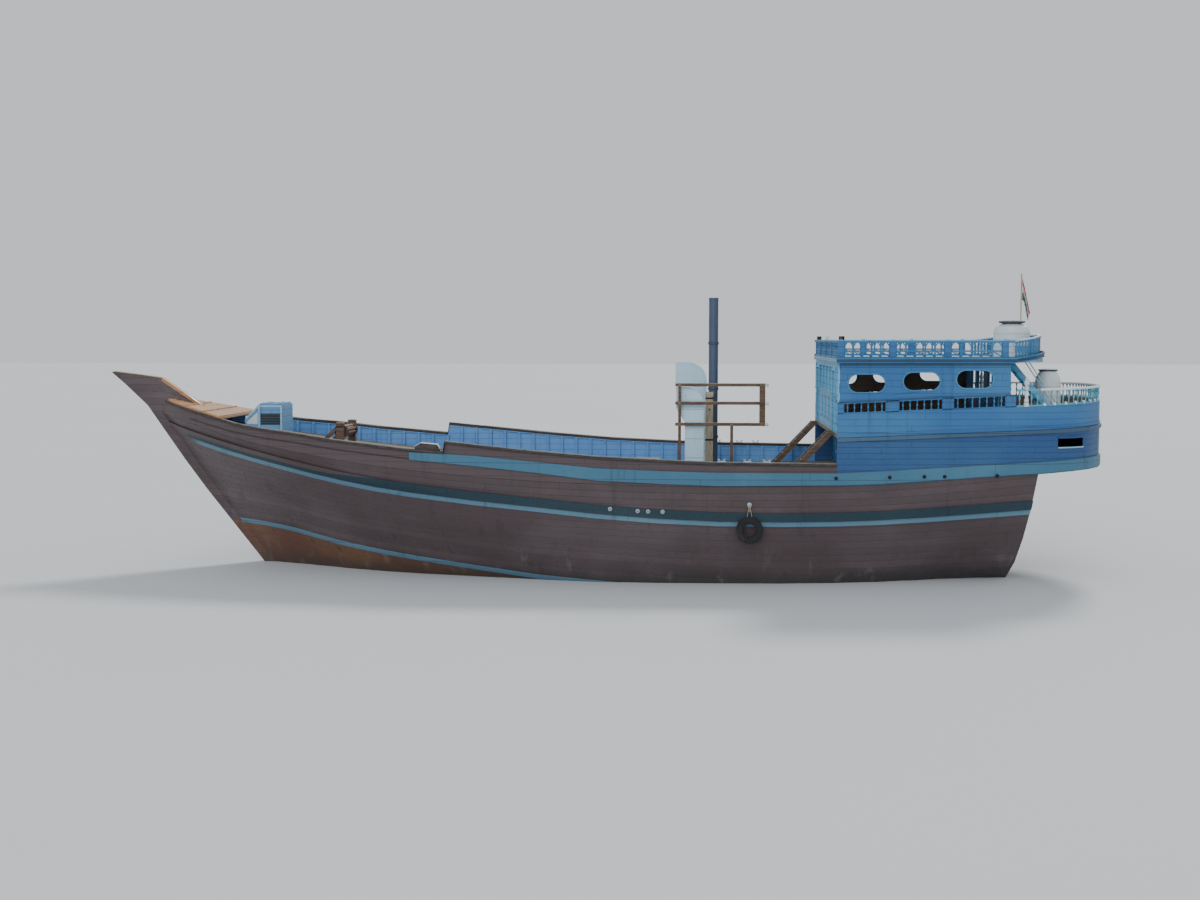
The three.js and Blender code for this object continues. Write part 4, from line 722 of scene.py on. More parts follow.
def roof_rail():
    rails, posts, pale = Shape(), Shape(), Shape()
    roof_front(rails, posts, pale)
    for s in (1, -1):
        side = [p for p in ROOF if p[0] >= ROOF_TURN and p[1] * s > 0]
        rails.wall(side, -0.15, -0.06, RAIL_FOOT, FOOT_TOP)
        rails.wall(side, -0.155, -0.055, HEAD_LOW, CAP_LOW)
        pale.wall(side, -0.17, -0.045, CAP_LOW, RAIL_HEAD)
        for x0, x1 in zip(ROOF_POSTS, ROOF_POSTS[1:]):
            fret(rails, (x0 - 0.1, s * roof_side(x0), 0), (x1 + 0.1, s * roof_side(x1), 0), (0, 1, 0), 5)
        for x in ROOF_POSTS:
            y = s * roof_side(x)
            posts.box(x - 0.105, x + 0.105, y - 0.06, y + 0.06, RAIL_FOOT, 7.99)
            pale.box(x - 0.06, x + 0.06, y - 0.045, y + 0.045, 8.005, 8.04)
    rails.make("roof_rail_work", rail_blue, replaces=["roof_rail"], bevel=0.006)
    posts.make("roof_rail_posts", royal, bevel=0.012)
    pale.make("roof_rail_cap", light, bevel=0.006)


def roof_rail_end():
    """Flat balusters round the roof's end under a white rail that rises aft."""
    work, rail = Shape(), Shape()
    path = [p for p in ROOF if p[0] <= ROOF_TURN]
    path[0], path[-1] = [(ROOF_TURN - 0.005, *end[1:]) for end in (path[0], path[-1])]
    work.wall(path, -0.15, -0.06, RAIL_FOOT, FOOT_TOP)
    work.wall(path, -0.135, -0.075, above(roof_rise, 7.92), above(roof_rise, 7.96))
    rail.wall(path, -0.16, -0.05, above(roof_rise, 7.96), above(roof_rise, RAIL_HEAD))
    for x, y, nx, ny in inward(stations(path, 0.125), RAIL_INSET):
        top = PANEL_HEAD + roof_rise(x)
        rings = []
        for z, half in FLAT_BALUSTER + [(top - 0.08, 0.028), (top - 0.03, 0.045), (top, 0.045)]:
            rings.append([(x - a * ny * half + b * nx * 0.014, y + a * nx * half + b * ny * 0.014, z)
                          for a, b in ((1, 1), (-1, 1), (-1, -1), (1, -1))])
        work.rings(rings)
    work.make("roof_end_balusters", rail_blue, replaces=["roof_rail_aft_port", "roof_rail_aft_starboard"])
    rail.make("roof_end_rail", white_paint, bevel=0.008)


# Turned rails of the poop.


# Rows: share of the height, share of the radius.
TURNED = [
    (0.0, 1.0), (0.07, 1.0), (0.09, 0.62), (0.14, 0.85), (0.2, 0.5), (0.34, 0.42), (0.5, 0.95), (0.6, 0.8),
    (0.74, 0.42), (0.82, 0.5), (0.87, 0.85), (0.91, 0.62), (0.93, 1.0), (1.0, 1.0),
]
BALUSTER = 0.036
STRIP_RUN = (-7.205, -8.6, -10.0, -11.5, -12.985)
STRIP_BAYS = ((-7.42, -8.75), (-9.2, -10.58), (-10.97, -12.63))
STRIP_SOLIDS = ((-7.21, -7.42), (-8.75, -9.2), (-10.58, -10.97), (-12.63, -12.98))
NEWEL_X = -13.32
# Rows: radius, height.
NEWEL = [
    (0.085, 0), (0.085, 0.12), (0.06, 0.14), (0.08, 0.2), (0.05, 0.3), (0.078, 0.42), (0.05, 0.52),
    (0.08, 0.6), (0.05, 0.68), (0.09, 0.72), (0.09, 0.8), (0.045, 0.86), (0.05, 0.9), (0.02, 0.94),
]


def turned_rows(low, high):
    return [(BALUSTER * r, low + share * (high - low)) for share, r in TURNED]


def poop_half(x):
    return along([(px, py) for px, py in reversed(POOP_PLAN)], x)


def side_strip():
    """Open strip under the wheelhouse: solid parts between three bays of turned balusters."""
    strip, turned = Shape(), Shape()
    low, high = above(poop_rail, 0.0005), above(panel_low, -0.0008)
    run = beside(poop_half, STRIP_RUN)
    strip.wall(run, -0.095, -0.02, low, above(low, 0.04))
    strip.wall(run, -0.095, -0.02, above(high, -0.04), high)
    for x0, x1 in STRIP_SOLIDS:
        strip.wall(beside(poop_half, (x0, x1)), -0.095, -0.02, low, high)
        panel = beside(poop_half, (x0 - 0.03, x1 + 0.03))
        strip.wall(panel, -0.02, -0.008, above(low, 0.03), above(high, -0.03))
    for x0, x1 in STRIP_BAYS:
        count = round((x0 - x1) / 0.24)
        for k in range(count):
            x = x0 + (x1 - x0) * (k + 0.5) / count
            turned.lathe(turned_rows(low(x) + 0.03, high(x) - 0.03), (x, poop_half(x) - 0.0575, 0), 10)
    solids = ["side_balusters_port", "side_balusters_starboard"]
    strip.mirror().make("side_strip_rails", royal, replaces=solids, bevel=0.005)
    turned.mirror().make("side_strip_turned", rail_blue, slot="royal_paint")


def gallery_work():
    turned, rail, newel, fore = Shape(), Shape(), Shape(), Shape()
    after = [p for p in STERN if p[0] <= -13.7]
    turned.wall(STERN, -0.09, -0.02, above(poop_rail, 0.0005), above(poop_rail, 0.05))
    for x, y, _, _ in inward(stations(STERN, 0.21), 0.055):
        turned.lathe(turned_rows(poop_rail(x) + 0.02, gallery_rail(x) - 0.06), (x, y, 0), 10)
    turned.make("gallery_balusters", teal)
    rail.wall(after, -0.12, 0.0, above(gallery_rail, -0.07), gallery_rail)
    for s in (1, -1):
        near = [p for p in STERN if p[0] >= -13.79 and p[1] * s > 0]
        fore.wall(near, -0.11, -0.01, above(gallery_rail, -0.065), above(gallery_rail, -0.004))
    for x, y, _, _ in inward(stations(after, 0.42), 0.055):
        foot = poop_rail(x) + 0.001
        rail.lathe([(0.052, foot), (0.052, foot + 0.07), (0.038, foot + 0.1)], (x, y, 0))
    rail.make("gallery_rail_work", white_paint, replaces=["gallery_rail"], bevel=0.014, segments=2)
    fore.make("gallery_rail_fore", teal, bevel=0.01)
    newel.lathe(NEWEL, (NEWEL_X, poop_half(NEWEL_X) - 0.06, poop_rail(NEWEL_X)), 16)
    newel.mirror().make("newel_posts", white_paint)


# Wheelhouse and poop joinery.


HOUSE_WINDOWS = ((-8.15, 6.62), (-9.92, 6.685), (-11.64, 6.75))
WINDOW_LONG, WINDOW_TALL, SIDE_THICK = 1.195, 0.58, 0.07
# Rows: distance outward from the opening, height from the wall's face.
RIM_SECTION = ((-0.012, -0.004), (-0.012, 0.02), (0.02, 0.024), (0.045, 0.012), (0.05, -0.004))
FRONT_FACE, AFT_FACE = -7.206, -12.794
FRONT_BAYS = ((0.12, 1.16), (1.38, 2.42), (3.67, 4.13))
FRONT_SILL, FRONT_HEAD = 6.28, 7.12
PORT_AFT, PORT_FORE, PORT_LOW, PORT_HIGH = -15.34, -14.4, 4.52, 4.85
POOP_FACE = -7.852
DOOR_FLOOR = deck(-7.85)


def house_side(x):
    """Outer face of the wheelhouse's port side."""
    return 4.31 - (-7.28 - x) * 0.48 / 5.52


def stadium(x, z, long, tall, steps=9):
    r, reach = tall / 2, (long - tall) / 2
    turns = [math.pi * k / steps - math.pi / 2 for k in range(steps + 1)]
    right = [(x + reach + r * math.cos(t), z + r * math.sin(t)) for t in turns]
    return right + [(x - reach - r * math.cos(t), z - r * math.sin(t)) for t in turns]


def moulded_ring(shape, outline, place):
    """The windows' moulding round a closed outline."""
    rings = []
    for i, (a, b) in enumerate(outline):
        (a0, b0), (a1, b1) = outline[i - 1], outline[(i + 1) % len(outline)]
        length = math.hypot(a1 - a0, b1 - b0)
        na, nb = (b1 - b0) / length, (a0 - a1) / length
        rings.append([place(a + na * w, b + nb * w, h) for w, h in RIM_SECTION])
    shape.rings(rings, loop=True)


def cross_frame(shape, x0, x1, y0, y1, z0, z1, w):
    """A frame of width w round an opening in a cross wall."""
    for row in ((y0 - w, y1 + w, z1, z1 + w), (y0 - w, y1 + w, z0 - w, z0), (y0 - w, y0, z0, z1),
                (y1, y1 + w, z0, z1)):
        shape.box(x0, x1, *row)


def window_rims():
    rims = Shape()
    for x, z in HOUSE_WINDOWS:
        outline = stadium(x, z, WINDOW_LONG, WINDOW_TALL)
        moulded_ring(rims, outline, lambda x, z, h: (x, house_side(x) + h, z))
        moulded_ring(rims, outline, lambda x, z, h: (x, house_side(x) - SIDE_THICK - h, z))
    rims.mirror().make("window_rims", rim_paint, smooth=50)


def front_joinery():
    """Window frames, sills and panels across the wheelhouse's front."""
    front, face = Shape(), FRONT_FACE
    for y0, y1 in FRONT_BAYS:
        cross_frame(front, face, -7.18, y0, y1, FRONT_SILL, FRONT_HEAD, 0.05)
        front.box(face, -7.15, y0 - 0.08, y1 + 0.08, 6.2, 6.235)
        front.box(-7.26, -7.215, (y0 + y1) / 2 - 0.018, (y0 + y1) / 2 + 0.018, FRONT_SILL, FRONT_HEAD)
        for a, b, low, high in ((y0, y1, 5.3, 5.36), (y0, y1, 6.02, 6.08), (y0, y0 + 0.06, 5.3, 6.08),
                                (y1 - 0.06, y1, 5.3, 6.08)):
            front.box(face, -7.185, a, b, low, high)
    for y in (2.62, 3.53):
        front.box(face, -7.165, y - 0.035, y + 0.035, 5.0, 7.02)
    front.box(face, -7.165, 2.58, 3.57, 7.0, 7.07)
    front.mirror().make("front_joinery", light, bevel=0.006)


def aft_joinery():
    """Window frame and doorway casing on the wheelhouse's aft wall."""
    aft, face = Shape(), AFT_FACE
    y0, y1, z0, z1 = 0.35, 1.55, 6.2, 6.9
    cross_frame(aft, -12.82, face, y0, y1, z0, z1, 0.05)
    aft.box(-12.79, -12.75, (y0 + y1) / 2 - 0.018, (y0 + y1) / 2 + 0.018, z0, z1)
    for y in (1.87, 2.73):
        aft.box(-12.83, face, y - 0.035, y + 0.035, 5.24, 7.08)
    aft.box(-12.83, face, 1.83, 2.77, 7.05, 7.12)
    aft.mirror().make("aft_joinery", light, bevel=0.006)


def side_mouldings():
    """Thin mouldings along the wheelhouse side and the roof edge."""
    work, dark, edge = Shape(), Shape(), Shape()
    ends = beside(house_side, (-7.3, -12.79))
    dark.wall(ends, -0.004, 0.022, above(panel_low, 0.002), above(panel_low, 0.04))
    work.wall(ends, -0.004, 0.018, above(panel_low, 0.04), above(panel_low, 0.075))
    # Dark strip of painted shadow under the roof's edge.
    dark.wall(ends, -0.004, 0.018, 7.2, 7.265)
    edge.wall(ROOF, 0.044, 0.062, above(roof_rise, 7.395), above(roof_rise, 7.438))
    edge.wall(ROOF, 0.044, 0.058, above(roof_rise, 7.275), above(roof_rise, 7.3))
    work.mirror().make("house_mouldings", royal, bevel=0.006)
    dark.mirror().make("house_dark_and_shadow_lines", mould_and_shadow_paint, bevel=0.004)
    edge.make("roof_edge_moulding", rail_blue, bevel=0.004)


def poop_lines():
    """Board along the upper deck's edge, and thin dark strips of painted shadow above and below the band."""
    edge, dark = Shape(), Shape()
    edge.wall(POOP, 0.0005, 0.014, above(upper_deck, -0.118), above(upper_deck, -0.002))
    # The dark strips paint the shadows along the band's upper and lower edges.
    for table, rise in ((BAND_LOW, -0.026), (BAND_HIGH, 0.002)):
        line = above(lambda x: along(table, x), rise)
        dark.wall(POOP, 0.001, 0.03, line, above(line, 0.022))
    edge.make("deck_edge_board", royal, bevel=0.005)
    dark.make("band_shadow_strips", mould_and_shadow_paint, bevel=0.003)


def on_poop(x, z, out):
    """A point at a distance out from the poop's port side."""
    slope = (poop_half(x + 0.05) - poop_half(x - 0.05)) / 0.1
    length = math.hypot(slope, 1.0)
    return (x - slope / length * out, poop_half(x) + out / length, z)


def freeing_ports():
    """Rims round the freeing ports, pale below and at the aft end as painted highlight where light falls on
    them.
    """
    lit_rims, dull = Shape(), Shape()
    corners = [(PORT_FORE, PORT_LOW), (PORT_FORE, PORT_HIGH), (PORT_AFT, PORT_HIGH), (PORT_AFT, PORT_LOW)]
    for (a, b), (c, d) in zip(corners, corners[1:] + corners[:1]):
        steps = 6 if a != c else 1
        # Lower and aft rims are pale: painted highlight.
        pale = b == d == PORT_LOW or a == c == PORT_AFT
        for k in range(steps):
            ends = [on_poop(a + (c - a) * n / steps, b + (d - b) * n / steps, 0.012) for n in (k, k + 1)]
            (lit_rims if pale else dull).bar(*ends, 0.036, 0.05)
    lit_rims.mirror().make("freeing_port_lit_edges", pale_blue)
    dull.mirror().make("freeing_port_rims", navy)


def bulkhead_work():
    """Frames and bars of the two openings beside the poop door, and the door's casing."""
    frames, casing, floor = Shape(), Shape(), DOOR_FLOOR
    for y in (-2.3, 2.3):
        cross_frame(frames, POOP_FACE, -7.826, y - 0.45, y + 0.45, floor + 0.5, floor + 1.0, 0.06)
        for k in (-0.15, 0.15):
            frames.tube([(-7.88, y + k, floor + 0.48), (-7.88, y + k, floor + 1.02)], 0.012, 8)
        frames.tube([(-7.88, y - 0.47, floor + 0.75), (-7.88, y + 0.47, floor + 0.75)], 0.012, 8)
    for y in (-0.45, 0.45):
        casing.box(POOP_FACE, -7.842, y - 0.026, y + 0.026, floor, floor + 1.26)
    casing.box(POOP_FACE, -7.842, -0.476, 0.476, floor + 1.236, floor + 1.29)
    frames.make("bulkhead_frames", light, bevel=0.006)
    casing.make("door_casing", light, bevel=0.003)


def door_work():
    planks, iron, floor = Shape(), Shape(), DOOR_FLOOR
    for z in (0.08, 0.6, 1.13):
        planks.box(-7.849, -7.833, -0.4, 0.17, floor + z, floor + z + 0.09)
    for z0, z1 in ((0.17, 0.6), (0.69, 1.13)):
        planks.bar((-7.841, -0.36, floor + z0), (-7.841, 0.14, floor + z1), 0.08, 0.014, (1, 0, 0))
    planks.make("door_battens", light, body="door", bevel=0.004)
    y, z = -0.34, floor + 0.78
    rows = [(0.045, -7.849), (0.045, -7.842), (0.02, -7.838), (0.02, -7.825), (0.012, -7.82)]
    iron.lathe(rows, (0, y, z), 14, "X")
    iron.hoop((-7.826, y, z - 0.05), 0.045, 0.007, 18, 8, "X")
    iron.make("door_ring", black_steel, body="door")


# Hull and rail fittings.


SCUPPERS = ((-7.18, 3.56), (-8.91, 3.59), (-10.03, 3.61), (-10.69, 3.61), (-12.4, 3.63))
OUTLETS = ((0.12, 2.53), (-0.78, 2.47), (-1.12, 2.46), (-1.59, 2.45))
CLEATS = (-3.49, -4.32, -4.95)
CLEAT_BASE = ((0.14, 0.05, 0.001), (0.13, 0.035, 0.03), (0.11, 0.035, 0.035))
TIMBER_PITCH = 0.55
# Rows: x, height over the rail cap.
STEP_BLOCK = ((5.76, 0.06), (5.84, 0.2), (6.4, 0.21), (6.61, 0.08))
STEM_TOP = ((15.16, 5.649), (15.9, 6.144), (16.62, 6.627), (17.3, 6.72), (18.36, 6.849))
PLATFORM_BATTENS = (13.78, 14.5, 15.3, 16.0)


def rail_height(x, s):
    """Top of the bulwark, whose step is a ramp on the starboard side."""
    if s < 0 and 5.5 < x < 6.9:
        return 4.71 + (x - 5.6) * 0.128 / 1.24 if x < 6.84 else 4.445
    return cap_top(x)


def bulwark_timbers():
    """Upright timbers inside both bulwarks."""
    work = Shape()
    for s in (1, -1):
        x = -6.85
        while x < 15.0:
            top, rings = rail_height(x, s) - 0.098, []
            for px, py in ((x - 0.05, half_breadth(x) - 0.12), (x + 0.05, half_breadth(x + 0.05) - 0.12)):
                corners = ((py - 0.09, deck(px)), (py + 0.001, deck(px)), (py + 0.001, top), (py - 0.05, top))
                rings.append([(px, s * y, z) for y, z in corners])
            work.rings(rings)
            x += TIMBER_PITCH
    work.make("bulwark_timbers", timber_blue, bevel=0.008)


def rail_strips():
    """Narrow strips along the outer edges of the rail caps, pale as a painted highlight, inside under them
    and along the fore rail.
    """
    pale, shelf, dark = Shape(), Shape(), Shape()
    aft = [-7.19] + [row[0] for row in SHEER if -7.2 < row[0] < 5.6] + [5.59]
    fore = [row[0] for row in SHEER if 5.66 < row[0] < 13.7]
    for run in (aft, fore):
        path = beside(half_breadth, run)
        # Pale strip of painted highlight on the cap's outer edge.
        pale.wall(path, 0.05, 0.074, above(cap_top, -0.02), above(cap_top, 0.008))
        shelf.wall(path, -0.155, -0.125, above(cap_top, -0.14), above(cap_top, -0.096))
    path = beside(half_breadth, [5.7] + fore + [14.3, 15.1])
    dark.wall(path, -0.004, 0.02, above(cap_top, -0.36), above(cap_top, -0.325))
    dark.mirror().make("rail_lower_strip", dark_line, bevel=0.004)
    pale.mirror().make("rail_edge_highlight", edge_highlight, bevel=0.004)
    shelf.mirror().make("rail_shelf", timber_blue, bevel=0.004)


def rail_cleats():
    work = Shape()
    for x in CLEATS:
        y, z = half_breadth(x) - 0.03, cap_top(x)
        work.rings([around(x, y, h, w, z + t) for h, w, t in CLEAT_BASE])
        for side in (-1, 1):
            dx, lean = 0.07 * side, 0.06 * side
            horn = [(x + dx, y, z + 0.02), (x + dx, y, z + 0.07), (x + dx + lean, y, z + 0.1)]
            work.tube(horn, [0.022, 0.02, 0.014])
    work.mirror().make("rail_cleats", pale_metal, bevel=0.003)


def step_block():
    """Raised block where the rail steps down to the fore deck."""
    block, top = Shape(), Shape()
    rings, tops = [], []
    for x, h in STEP_BLOCK:
        y, z = half_breadth(x), cap_top(x)
        rings.append(section(x, y - 0.12, y + 0.05, z + 0.001, z + h))
        tops.append(section(x, y - 0.13, y + 0.06, z + h, z + h + 0.02))
    block.rings(rings).make("rail_block", cap_wood, bevel=0.008)
    top.rings(tops).make("rail_block_top", white_paint, bevel=0.004)


def spouts():
    """Scupper spouts along the band, and outlets in the port side."""
    work, flanges = Shape(), Shape()
    spout = [(0.062, 0.0), (0.062, 0.012), (0.045, 0.014), (0.043, 0.055), (0.03, 0.055), (0.03, 0.02)]
    outlet = [(0.07, 0.0), (0.07, 0.12), (0.05, 0.13), (0.045, 0.16), (0.032, 0.16), (0.03, 0.1)]
    for x, z in SCUPPERS:
        work.lathe(spout, (x, poop_half(x) + 0.05, z), 14, "Y")
    for x, z in OUTLETS:
        flanges.lathe(outlet, (x, half_breadth(x) - 0.02, z), 14, "Y")
    work.mirror().make("scupper_spouts", black_steel)
    flanges.make("side_outlets", pale_metal)


def stem_strip():
    """Varnished strip on the stem's upper edge, with a board along each side of the slope."""
    slope, head = Shape(), Shape()
    for shape, points in ((slope, STEM_TOP[:3]), (head, STEM_TOP[2:])):
        shape.rings([section(x, -0.15, 0.15, z + 0.004, z + 0.034) for x, z in points])
    for y in (0.1308, -0.1448):
        slope.rings([section(x, y, y + 0.014, z - 0.085, z) for x, z in STEM_TOP[:3]])
    slope.make("stem_strip", varnish, bevel=0.008)
    head.make("stem_head_strip", faded_varnish, bevel=0.008)


def platform_battens():
    """Batten ends across the varnished planks at the bow."""
    work = Shape()
    for x in PLATFORM_BATTENS:
        half, z = half_breadth(x) - 0.03, cap_top(x) + 0.075
        parts = ((0.16, half), (-half, -0.16)) if x > 15.0 else ((-half, half),)
        for y0, y1 in parts:
            work.box(x - 0.04, x + 0.04, y0, y1, z - 0.006, z + 0.028)
    work.make("platform_battens", varnish, bevel=0.006)


# Deck gear.


# Rows: side, aft face, fore face of the mouth, both sides, top, mouth's height, overhang of the mouth.
COWLS = (
    ("port", -2.92, -1.99, 1.15, 1.9, 6.41, 0.7, 0.29),
    ("starboard", -3.03, -1.93, -1.98, -0.97, 7.2, 0.8, 0.34),
)
STACK_X, STACK_TOP = -3.26, 9.49
STACK_JOINTS = (4.6, 6.3, 7.9)
POST_X, POST_Y, POST_HALF = -3.12, 0.57, 0.1305
POST_BANDS, PIN_HEIGHT = (5.95, 4.5), 5.6
RACK_Y, RACK_LEVELS = 2.025, (6.49, 5.87, 5.15)
RACK_AFT, RACK_FORE = -5.045, -1.955
LASHINGS = ((-2.1, 6.49), (-2.1, 5.87), (-2.1, 5.15), (-3.87, 5.15), (-4.9, 6.49), (-4.9, 5.15))
WINDLASS_X = 9.9
WINDLASS_AXIS, WINDLASS_POST_TOP = deck(WINDLASS_X) + 0.62, deck(WINDLASS_X) + 0.9
HATCH_AFT, HATCH_FORE, HATCH_HALF, HATCH_TOP = -1.3, 3.0, 1.75, 3.69


def belt(shape, x0, x1, y0, y1, z0, z1, out):
    """A belt round a rectangular trunk."""
    rings = []
    for x, y, a, b in ((x1, y0, 1, -1), (x1, y1, 1, 1), (x0, y1, -1, 1), (x0, y0, -1, -1)):
        outer, inner = (x + a * out, y + b * out), (x - a * 0.005, y - b * 0.005)
        rings.append([(*outer, z0), (*outer, z1), (*inner, z1), (*inner, z0)])
    shape.rings(rings, loop=True)


def cowl_work():
    """Frame round each ventilator's mouth, belt at the foot, edge beads and plate seams."""
    for name, x0, x1, y0, y1, top, mouth, overhang in COWLS:
        trim, dark = Shape(), Shape()
        sill, trunk, foot = top - mouth, x1 - overhang, deck(x0) + 0.004
        cross_frame(trim, x1 - 0.03, x1 + 0.014, y0 + 0.03, y1 - 0.03, sill, top - 0.03, 0.035)
        belt(trim, x0, trunk, y0, y1, foot, foot + 0.09, 0.03)
        radius = (x1 - x0) * 0.62
        turns = [math.pi / 2 * k / 10 for k in range(11)]
        for y, out in ((y0, y0 - 0.006), (y1, y1 + 0.006)):
            arc = [(x0 + radius * (1 - math.sin(t)), out, top - radius * (1 - math.cos(t))) for t in turns]
            trim.tube([(x1 - 0.01, out, top)] + arc + [(x0, out, foot + 0.1)], 0.011, 6)
            dark.box(x0 + 0.005, x1 - 0.04, y - 0.006, y + 0.006, sill - 0.06, sill - 0.04)
            dark.box(x0 + 0.005, x1 - 0.02, y - 0.006, y + 0.006, sill + 0.01, sill + 0.03)
            for z in (foot + 0.65, foot + 1.3):
                if z < sill - 0.5:
                    dark.box(x0 + 0.01, trunk - 0.01, y - 0.006, y + 0.006, z, z + 0.018)
        trim.make(f"cowl_trim_{name}", aqua, bevel=0.004)
        dark.make(f"cowl_seams_{name}", aqua_dark)


def stack_work():
    """Flanged joints, foot and head ring of the exhaust stack, with bolts and two braces."""
    rings, bolts, braces = Shape(), Shape(), Shape()
    x, foot = STACK_X, deck(STACK_X) + 0.07
    half = [(0.16, 0.03), (0.19, 0.03), (0.19, 0.004)]
    joint = [(r, -h) for r, h in half] + [(0.18, 0.0)] + half[::-1]
    for z in STACK_JOINTS:
        rings.lathe(joint, (x, 0, z), 24)
        for u, v in circle(10):
            bolts.lathe([(0.013, -0.045), (0.013, 0.045)], (x + 0.178 * u, 0.178 * v, z), 6)
    rings.lathe([(0.15, -0.1), (0.172, -0.1), (0.172, -0.01), (0.15, -0.01)], (x, 0, STACK_TOP), 24)
    skirt = [(0.19, 0.0), (0.25, 0.005), (0.25, 0.02), (0.19, 0.05), (0.17, 0.16), (0.165, 0.16)]
    rings.lathe(skirt, (x, 0, foot), 24)
    for a, b in CORNERS:
        bolts.lathe([(0.02, 0.0), (0.02, 0.03), (0.01, 0.035)], (x + 0.21 * a, 0.21 * b, foot), 6)
    braces.tube([(x + 0.15, 0, 6.1), (x + 0.27, 0.45, 6.1)], 0.014, 8)
    braces.tube([(x - 0.15, 0.04, 6.1), (x, 0.45, 6.1)], 0.014, 8)
    rings.make("stack_flanges", stack_paint)
    bolts.make("stack_bolts", black_steel)
    braces.make("stack_braces", black_steel)


def post_work():
    """Bands, pin and worn cap on the tall post."""
    iron, top, x, y = Shape(), Shape(), POST_X, POST_Y
    for z in POST_BANDS:
        belt(iron, x - 0.13, x + 0.13, y - 0.13, y + 0.13, z, z + 0.06, 0.008)
    iron.tube([(x, y + side, PIN_HEIGHT) for side in (-0.29, 0.29)], 0.026, 12)
    top.rings([around(x, y, POST_HALF + out, POST_HALF + out, z)
               for z, out in ((6.05, 0.012), (6.16, 0.012), (6.2, -0.03))])
    iron.make("post_irons", black_steel, bevel=0.002)
    top.make("post_cap", post_wood, bevel=0.004)


def rack_work():
    """Pale tops of painted highlight and capped ends of the rack's bars, and lashings at their joints."""
    rails, caps, lash = Shape(), Shape(), Shape()
    cap = [(0.0, -0.05), (0.045, -0.05), (0.06, -0.03), (0.06, 0.03), (0.045, 0.045), (0.0, 0.05)]
    for z in RACK_LEVELS:
        # Thin pale strip on each bar's top: a painted highlight.
        rails.box(RACK_AFT, RACK_FORE, RACK_Y - 0.04, RACK_Y + 0.04, z + 0.049, z + 0.056)
        caps.lathe(cap, (RACK_AFT - 0.015, RACK_Y, z), 14, "X")
        caps.box(-5.052, -4.998, RACK_Y - 0.051, RACK_Y + 0.051, z - 0.055, z + 0.055)
    for x, z in LASHINGS:
        half = 0.105 if x == -4.9 else 0.055
        for k in range(4):
            middle = x + (k - 1.5) * half * 0.45
            loop = [(middle + a * 0.012, RACK_Y + b * 0.05, z + c * 0.057)
                    for a, b, c in ((0, 1, 1), (1, 1, -1), (1, -1, -1), (0, -1, 1))]
            lash.tube(loop, 0.009, 6, loop=True)
    rails.make("rack_bar_tops", bar_top_highlight)
    caps.make("rack_bar_ends", white_paint, bevel=0.004)
    lash.make("rack_lashings", rope_fibre)


def windlass_drum():
    """Whelps and hoops on the drum, which turn with it."""
    bars, hoops, x, z = Shape(), Shape(), WINDLASS_X, WINDLASS_AXIS
    for u, v in circle(8, 0.5):
        bars.rings([[(x + r * u - w * v, y, z + r * v + w * u)
                     for r, w in ((0.18, -0.05), (0.215, -0.04), (0.215, 0.04), (0.18, 0.05))]
                    for y in (-0.72, 0.72)])
    for y in (-0.58, 0.58):
        hoops.lathe([(0.2, -0.02), (0.222, -0.02), (0.222, 0.02), (0.2, 0.02)], (x, y, z), 24, "Y")
    bars.make("windlass_whelps", brown_wood, body="windlass", bevel=0.006)
    hoops.make("windlass_hoops", black_steel, body="windlass")


def windlass_posts():
    """Straps, heads and knees of the windlass posts."""
    straps, heads, x, top = Shape(), Shape(), WINDLASS_X, WINDLASS_POST_TOP
    for s in (1, -1):
        y = s * 0.905
        belt(straps, x - 0.13, x + 0.13, y - 0.105, y + 0.105, top - 0.12, top - 0.06, 0.007)
        heads.rings([around(x, y, 0.13 + o, 0.105 + o, top + h)
                     for h, o in ((0.001, 0.02), (0.03, 0.02), (0.06, -0.03))])
        heads.bar((x + 0.125, y, top - 0.15), (x + 0.75, y, deck(x + 0.75) + 0.05), 0.12, 0.12)
    straps.make("windlass_straps", black_steel)
    heads.make("windlass_knees", brown_wood, bevel=0.008)


def hatch_work():
    """Cleats round the coaming, battens across the boards and lifting rings."""
    cleats, battens, lifting = Shape(), Shape(), Shape()
    low, high = HATCH_TOP - 0.15, HATCH_TOP - 0.085
    for k in range(7):
        x = HATCH_AFT + 0.2 + 0.65 * k
        for s in (1, -1):
            cleats.box(x - 0.05, x + 0.05, s * (HATCH_HALF + 0.001), s * (HATCH_HALF + 0.04), low, high)
    for k in range(6):
        y = -1.4 + 0.56 * k
        cleats.box(HATCH_AFT - 0.04, HATCH_AFT - 0.001, y - 0.05, y + 0.05, low, high)
        cleats.box(HATCH_FORE + 0.001, HATCH_FORE + 0.04, y - 0.05, y + 0.05, low, high)
    for x in (-0.6, 0.85, 2.3):
        battens.box(x - 0.06, x + 0.06, -1.8, 1.8, HATCH_TOP + 0.0005, HATCH_TOP + 0.02)
    for k in range(6):
        for y in (-1.1, 1.1):
            lifting.hoop((HATCH_AFT + 0.3 + 0.74 * k, y, HATCH_TOP + 0.01), 0.05, 0.008)
    cleats.make("hatch_cleats", black_steel, bevel=0.003)
    battens.make("hatch_battens", brown_wood, bevel=0.004)
    lifting.make("hatch_rings", black_steel)


COMPANION_AFT, COMPANION_EDGE, COMPANION_FORE = 12.06, 12.89, 13.36
COMPANION_TOP, COMPANION_TOE = 5.66, 5.19
RECESS_AFT, RECESS_FORE = 12.12, 12.82
LID_TOP = 5.745


